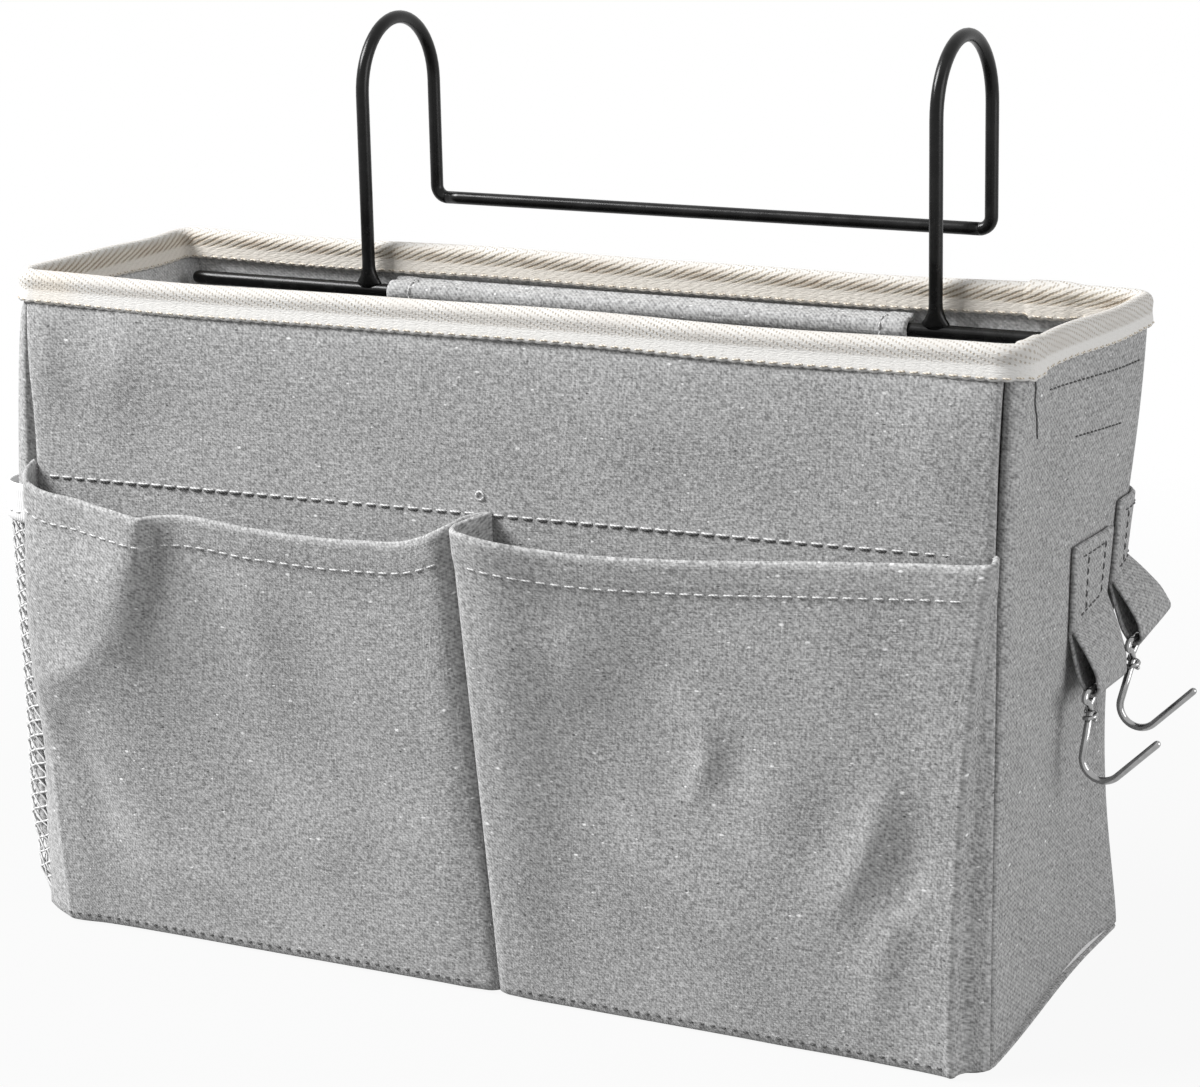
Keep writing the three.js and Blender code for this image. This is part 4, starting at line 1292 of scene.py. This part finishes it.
def strap(name, front, back, tab_slant, front_drop, back_drop):
    """One strap: its sewn tab on the bag and its loop, which bends from the tab's lower edge."""
    top, hinge = high(name + "_strap_tab")[2], pivot(name + "_strap_swing")
    width, height = (back - front) * MM, (top - hinge[2]) * MM
    tab, rows, foot = strap_tab(name, front, back, top, hinge[2] - TAB_DROP, hinge[2] + tab_slant)
    flat = (width, 2 * height)
    cloth(tab, "bag", "canvas", name + "_strap_tab", flat, "folded", area=width * height, with_pieces=rows)
    eyes = [pivot(name + "_hook_swing") + (out, 0, rise) for out, rise in (front_drop, back_drop)]
    loop = strap_loop(name, foot, *eyes)
    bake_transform(loop)
    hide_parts(name + "_strap_loop")


def key_hook(name, lean, shift):
    """A bent wire hook; lean is how far its shank tucks in, shift how far it sits back along its hinge."""
    lean = math.radians(lean)
    hinge = pivot(name + "_hook_swing") + shift * Y
    foot = -KEY_EYE_HEIGHT * Z
    down = -math.sin(lean) * X - math.cos(lean) * Z
    off = math.cos(lean) * X - math.sin(lean) * Z
    sweep = np.linspace(0, np.pi / 2 + lean + KEY_ARM_RISE, 18)
    bend = arc(foot + down * KEY_SHANK + off * KEY_BEND, KEY_BEND, -off, down, sweep)
    tip = bend[-1] + KEY_ARM * (math.cos(KEY_ARM_RISE) * X + math.sin(KEY_ARM_RISE) * Z)
    rising = [
        (KEY_EYE_TWIST, -KEY_EYE_WIDTH * 0.55, -KEY_EYE_HEIGHT * 0.55),
        (0, -KEY_EYE_WIDTH, -KEY_EYE_SHOULDER),
        (0, -KEY_EYE_WIDTH * 0.8, -KEY_EYE_CROWN),
    ]
    falling = [(-x, -y, z) for x, y, z in reversed(rising)]
    eye = spline([foot, *rising, (0, 0, 0), *falling, foot + KEY_EYE_END], [5, 6, 4, 5, 5, 4, 6, 5])
    turns = np.linspace(0, KEY_WRAP_TURNS * 2 * np.pi, 26)
    wrap = arc(foot - KEY_WRAP_DROP * Z, KEY_WRAP, -X, Y, turns + KEY_WRAP_START)
    wrap -= KEY_WRAP_FALL * turns[:, None] * Z
    parts = [
        tube(hinge + eye, KEY_WIRE * 0.9, 12),
        tube(*round_ended(hinge + wrap, KEY_WIRE * 0.62), 10),
        tube(*round_ended(hinge + [foot, *bend, tip], KEY_WIRE, start=False), 14),
    ]
    made = add_mesh(name + "_hook_wire", *joined(parts), CHROME)
    return dress(made, name + "_hook", name + "_key_hook")


# Wire hanger


def painted_wire(name, points, faces, node_name):
    return dress(add_mesh(name, points, faces, PAINT), "hanger", node_name)


def hanger_hook(name, node_name, inwards):
    """An upright that rises from the rod, arches over the rail, comes down and turns into the bar."""
    x = middle(node_name)[0]
    front, rod = HANGER_AXIS[1:]
    radius = (REAR_LEG - front) / 2
    spring = high(node_name)[2] - WIRE_RADIUS - radius
    corner = np.array((x, REAR_LEG, BAR_HEIGHT + BAR_BEND))
    path = [
        *np.linspace((x, front, rod + ROD_RADIUS * 0.4), (x, front, spring), 40),
        *arc((x, front + radius, spring), radius, Y, Z, np.linspace(np.pi, 0, 29)[1:-1]),
        *np.linspace((x, REAR_LEG, spring), corner, 12),
        *arc(corner + inwards * BAR_BEND * X, BAR_BEND, -inwards * X, -Z, np.linspace(0, np.pi / 2, 10)[1:]),
    ]
    points, faces = tube(path, WIRE_RADIUS, 18)
    above = np.clip((points[:, 2] - rod - ROD_RADIUS) / WELD_HEIGHT, 0, 1)
    at_foot = (points[:, 1] < front + radius) * (1 - above) ** 2
    points[:, 0] = x + (points[:, 0] - x) * (1 + WELD_FLARE * at_foot)
    return painted_wire(name, points, faces, node_name)


def support_rod():
    ends = low("support_rod")[0] + ROD_RADIUS, high("support_rod")[0] - ROD_RADIUS
    path = [(x, *HANGER_AXIS[1:]) for x in np.linspace(*ends, 60)]
    return painted_wire("rod", *tube(*round_ended(path, ROD_RADIUS), 20), "support_rod")


def rear_bar():
    """The bar that joins the rear legs, between their rounded corners."""
    ends = middle("left_hanger_hook")[0] + BAR_BEND, middle("right_hanger_hook")[0] - BAR_BEND
    path = [(x, REAR_LEG, BAR_HEIGHT) for x in np.linspace(*ends, 40)]
    return painted_wire("bar", *tube(path, WIRE_RADIUS, 18), "rear_bar")


# Rod flap


def flap_path():
    """The flap in side view, as points with no x: from the rim, over the rod and down to its fastener."""
    reach = ROD_RADIUS + FLAP_CLOTH * 0.5 + FLAP_GAP
    around = arc(HANGER_AXIS, reach, Y, Z, np.radians((62, 90, 120, 150, 180, 205, 228)))
    foot, tape = low("rod_flap")[2], low("hook_tape")[1]
    knee = (0, tape - FLAP_CLOTH * 0.7, foot + FLAP_KNEE)
    lowest = (0, tape - FLAP_CLOTH * 0.6, foot)
    return spline([pivot("flap_open"), *around, knee, lowest] * (Y + Z), [3] * 8 + [10])


def ruled(x, side):
    """A grid whose rows run along x, one at each point of a side view."""
    return np.stack([np.stack([x, 0 * x + y, 0 * x + z], axis=-1) for _, y, z in side])


def rod_flap():
    start, end = low("rod_flap")[0], high("rod_flap")[0]
    first, last = start + FLAP_HEM, end - FLAP_HEM
    left_hem, right_hem = np.linspace(start, first, 6), np.linspace(last, end, 6)
    across = np.concatenate([left_hem, np.linspace(first, last, 60)[1:-1], right_hem])
    edge = smoothstep(FLAP_HEM, FLAP_HEM * 0.9, np.minimum(across - start, end - across))
    grid = ruled(across, flap_path()[::-1])
    x, y, z = axes(grid)
    y -= ripple(x, z, FLAP_UNEVEN)
    made = sheet("flap_cloth", grid, FLAP_CLOTH * (1 + 0.7 * edge), CANVAS_CLOTH)
    return made, [
        sew(f"flap_stitches_{k}", grid, np.s_[:, column], FLAP_CLOTH * 0.8, FLAP_STITCH, body="flap")
        for k, column in enumerate((5, -6))
    ]


def fastener_strip(name, node_name):
    """One half of the hook-and-loop closing behind the flap, along the leaning back of the bag."""
    corner, opposite = low(node_name) + STRIP_MARGIN, high(node_name) - STRIP_MARGIN
    lean = (RIM_HALF_DEPTH - BASE_HALF_DEPTH) / BAG_HEIGHT
    _, y, z = middle(node_name)
    side = [(0, y + lean * (height - z), height) for height in np.linspace(corner[2], opposite[2], 8)]
    return sheet(name, ruled(np.linspace(corner[0], opposite[0], 60), side), STRIP, PILE)


# Putting the cloth together


def shell():
    stitches = panel_stitches()
    cloth(front_panel(), "bag", "canvas", "front_panel", (0.366, 0.236), "stretched", with_pieces=stitches)
    cloth(back_panel(), "bag", "canvas", "back_panel", (0.366, 0.236), "stretched")
    right = side_panel("right_cloth", way=1, uneven=RIGHT_UNEVEN, arch=4)
    side = {"flat": (0.148, 0.236), "held": "stretched", "area": 0.0305}
    cloth(right, "bag", "canvas", "right_side_panel", **side, with_pieces=side_rows())
    left = side_panel("left_cloth", way=-1, uneven=LEFT_UNEVEN, arch=3)
    cloth(left, "bag", "canvas", "left_side_panel", **side)
    cloth(base_panel(), "bag", "canvas", "base_panel", (0.362, 0.154), "stretched")
    cloth(lining(), "bag", "lining", "lining", (0.96, 0.228), "hung")
    cloth(lining_floor(), "bag", "lining", None, (0.352, 0.142), "laid")
    tape, rows = rim_tape()
    cloth(tape, "bag", "tape", "rim_binding", (0.98, 0.032), "folded", with_pieces=rows)


# The right side's rows and its loose thread: their ends, as distances from the side's middle and heights
SIDE_ROWS = {"upper": ((-28, 213), (44, 210)), "lower": ((-8, 194), (31, 191))}
SIDE_ROW_LIFT = 0.15
LOOSE_THREAD = ((-40, 219), (-36, 199))
LOOSE_THREAD_LIFT = 0.2
LOOSE_THREAD_RADIUS = 0.3
LOOSE_THREAD_SWAY = 0.9


def side_rows():
    """Two short rows on the right side that hold its turned top, and a run of loose thread beside them."""
    rows = []
    for name, ends in SIDE_ROWS.items():
        path = side_point(*np.linspace(*ends, 24).T, SIDE_ROW_LIFT)
        rows.append(stitch_row(f"side_stitches_{name}", path, X, SIDE_STITCH))
    t = np.linspace(0, 1, 30)
    distance, height = np.linspace(*LOOSE_THREAD, 30).T
    distance = distance + LOOSE_THREAD_SWAY * np.sin(11 * t) * (1 - t)
    path = side_point(distance, height, LOOSE_THREAD_LIFT)
    thread = add_mesh("loose_thread", *tube(path, LOOSE_THREAD_RADIUS, 6), DARK_THREAD)
    rows.append(dress(thread, "bag"))
    return rows


def pockets():
    right, rows = right_pocket()
    cloth(right, "bag", "canvas", "right_pocket", (0.215, 0.172), "gathered", with_pieces=rows)
    left, rows = left_pocket()
    cloth(left, "bag", "canvas", "left_pocket", (0.225, 0.172), "gathered", with_pieces=rows)
    cloth(net_pocket(), "bag", "net", "net_pocket", (0.130, 0.140), "gathered")
    hem, rows = net_hem()
    cloth(hem, "bag", "net", "net_pocket_hem", (0.115, 0.013), "gathered", with_pieces=rows)


def flap():
    made, rows = rod_flap()
    cloth(made, "flap", "canvas", "rod_flap", (0.204, 0.048), "hung", with_pieces=rows)
    for name, body in (("hook", "flap"), ("loop", "bag")):
        strip = fastener_strip(name + "_strip", name + "_tape")
        cloth(strip, body, "fastener", name + "_tape", (0.196, 0.014), "stretched")


def boards():
    for name in ("front_board", "back_board", "base_board"):
        materials = frame["nodes"][name].data.materials
        materials.clear()
        materials.append(BOARD)


# Camera, light and floor


def aim(data, place, back, level):
    """Puts a camera or a lamp at a place; back is the way behind it and level its own x."""
    made = bpy.data.objects.new(data.name, data)
    scene.collection.objects.link(made)
    turn = Matrix(np.column_stack((level, np.cross(back, level), back)).tolist()).to_4x4()
    turn.translation = np.array(place) * MM
    made.matrix_world = turn
    return made


def make_camera():
    level = math.cos(AZIMUTH) * X + math.sin(AZIMUTH) * Y
    behind = math.sin(AZIMUTH) * X - math.cos(AZIMUTH) * Y
    back = math.cos(ELEVATION) * behind + math.sin(ELEVATION) * Z
    data = bpy.data.cameras.new("camera")
    data.sensor_fit = "HORIZONTAL"
    data.sensor_width = 36
    data.lens = FOCAL_PIXELS / PHOTO_WIDTH * data.sensor_width
    data.shift_x = (PHOTO_WIDTH / 2 - CENTRE_PIXEL[0]) / PHOTO_WIDTH
    data.shift_y = (CENTRE_PIXEL[1] - PHOTO_HEIGHT / 2) / PHOTO_WIDTH
    rolled = math.cos(ROLL) * level + math.sin(ROLL) * np.cross(back, level)
    scene.camera = aim(data, TARGET + back * DISTANCE, back, rolled)


def softbox(name, place, size, watts):
    """A square lamp turned to the middle of the bag."""
    data = bpy.data.lights.new(name, "AREA")
    data.size = size * MM
    data.energy = watts
    back = unit(np.array(place) - TARGET)
    aim(data, place, back, unit(np.cross(Z, back)))


def seen_rays(tree):
    """1 for rays by which a thing is seen, straight, in a mirror or through it, and 0 for its light."""
    rays = node(tree, "LightPath", {}).outputs
    seen = maths("MAXIMUM", rays["Is Camera Ray"], rays["Is Glossy Ray"])
    return maths("MAXIMUM", seen, rays["Is Transmission Ray"])


WORLD_LIGHT = 0.26


def make_world():
    """White where the camera or a mirror sees it, a softer grey as light."""
    world = bpy.data.worlds.new("studio")
    world.use_nodes = True
    tree = world.node_tree
    tree.nodes.clear()
    white = node(tree, "Background", {"Color": grey(1.0), "Strength": 1.0}).outputs[0]
    fill = node(tree, "Background", {"Color": grey(1.0), "Strength": WORLD_LIGHT}).outputs[0]
    both = node(tree, "MixShader", {0: seen_rays(tree), 1: fill, 2: white}).outputs[0]
    node(tree, "OutputWorld", {"Surface": both})
    scene.world = world


FLOOR_HALF = 800
FLOOR_CELLS = 8
FLOOR_DROP = 0.3
FLOOR_FADE = (300, 750)
FLOOR_WHITENING = 0.93


def make_floor():
    """A pale floor that keeps the bag's shadow and fades into the white round it."""
    material, tree = new_material("studio_floor")
    shader = tree.nodes["Principled BSDF"]
    colour = mix(object_noise(tree, 400), grey(0.23), grey(0.26))
    feed(shader, {"Base Color": colour, "Roughness": 0.9})
    away = node(tree, "VectorMath", {0: object_place(tree)}, operation="LENGTH").outputs["Value"]
    white = node(tree, "Emission", {"Color": grey(1.0), "Strength": 1.0}).outputs[0]
    whiten = maths("MULTIPLY", seen_rays(tree), FLOOR_WHITENING)
    pale = node(tree, "MixShader", {0: whiten, 1: shader.outputs[0], 2: white}).outputs[0]
    clear = node(tree, "BsdfTransparent", {}).outputs[0]
    both = node(tree, "MixShader", {0: span(away, *FLOOR_FADE), 1: pale, 2: clear}).outputs[0]
    feed(tree.nodes["Material Output"], {"Surface": both})
    line = np.linspace(-FLOOR_HALF, FLOOR_HALF, FLOOR_CELLS + 1)
    points = [(x, y, -FLOOR_DROP) for y in line for x in line]
    starts = [r * len(line) + c for r in range(FLOOR_CELLS) for c in range(FLOOR_CELLS)]
    faces = [[p, p + 1, p + len(line) + 1, p + len(line)] for p in starts]
    add_mesh("floor", points, faces, material)


make_camera()
make_world()
make_floor()
softbox("key", place=(-2020, -940, 2160), size=1300, watts=172)
softbox("fill", place=(1900, -100, 600), size=1200, watts=20)

shell()
pockets()
strap("front", front=-4, back=28, tab_slant=4, front_drop=(0, 0), back_drop=(-2, -2))
strap("rear", front=35, back=59, tab_slant=5, front_drop=(0, 0), back_drop=(2, 6))
key_hook("front", lean=9, shift=0)
key_hook("rear", lean=15, shift=5)
hanger_hook("left_hook", "left_hanger_hook", inwards=1)
hanger_hook("right_hook", "right_hanger_hook", inwards=-1)
support_rod()
rear_bar()
flap()
boards()

scene.view_settings.view_transform = "Standard"
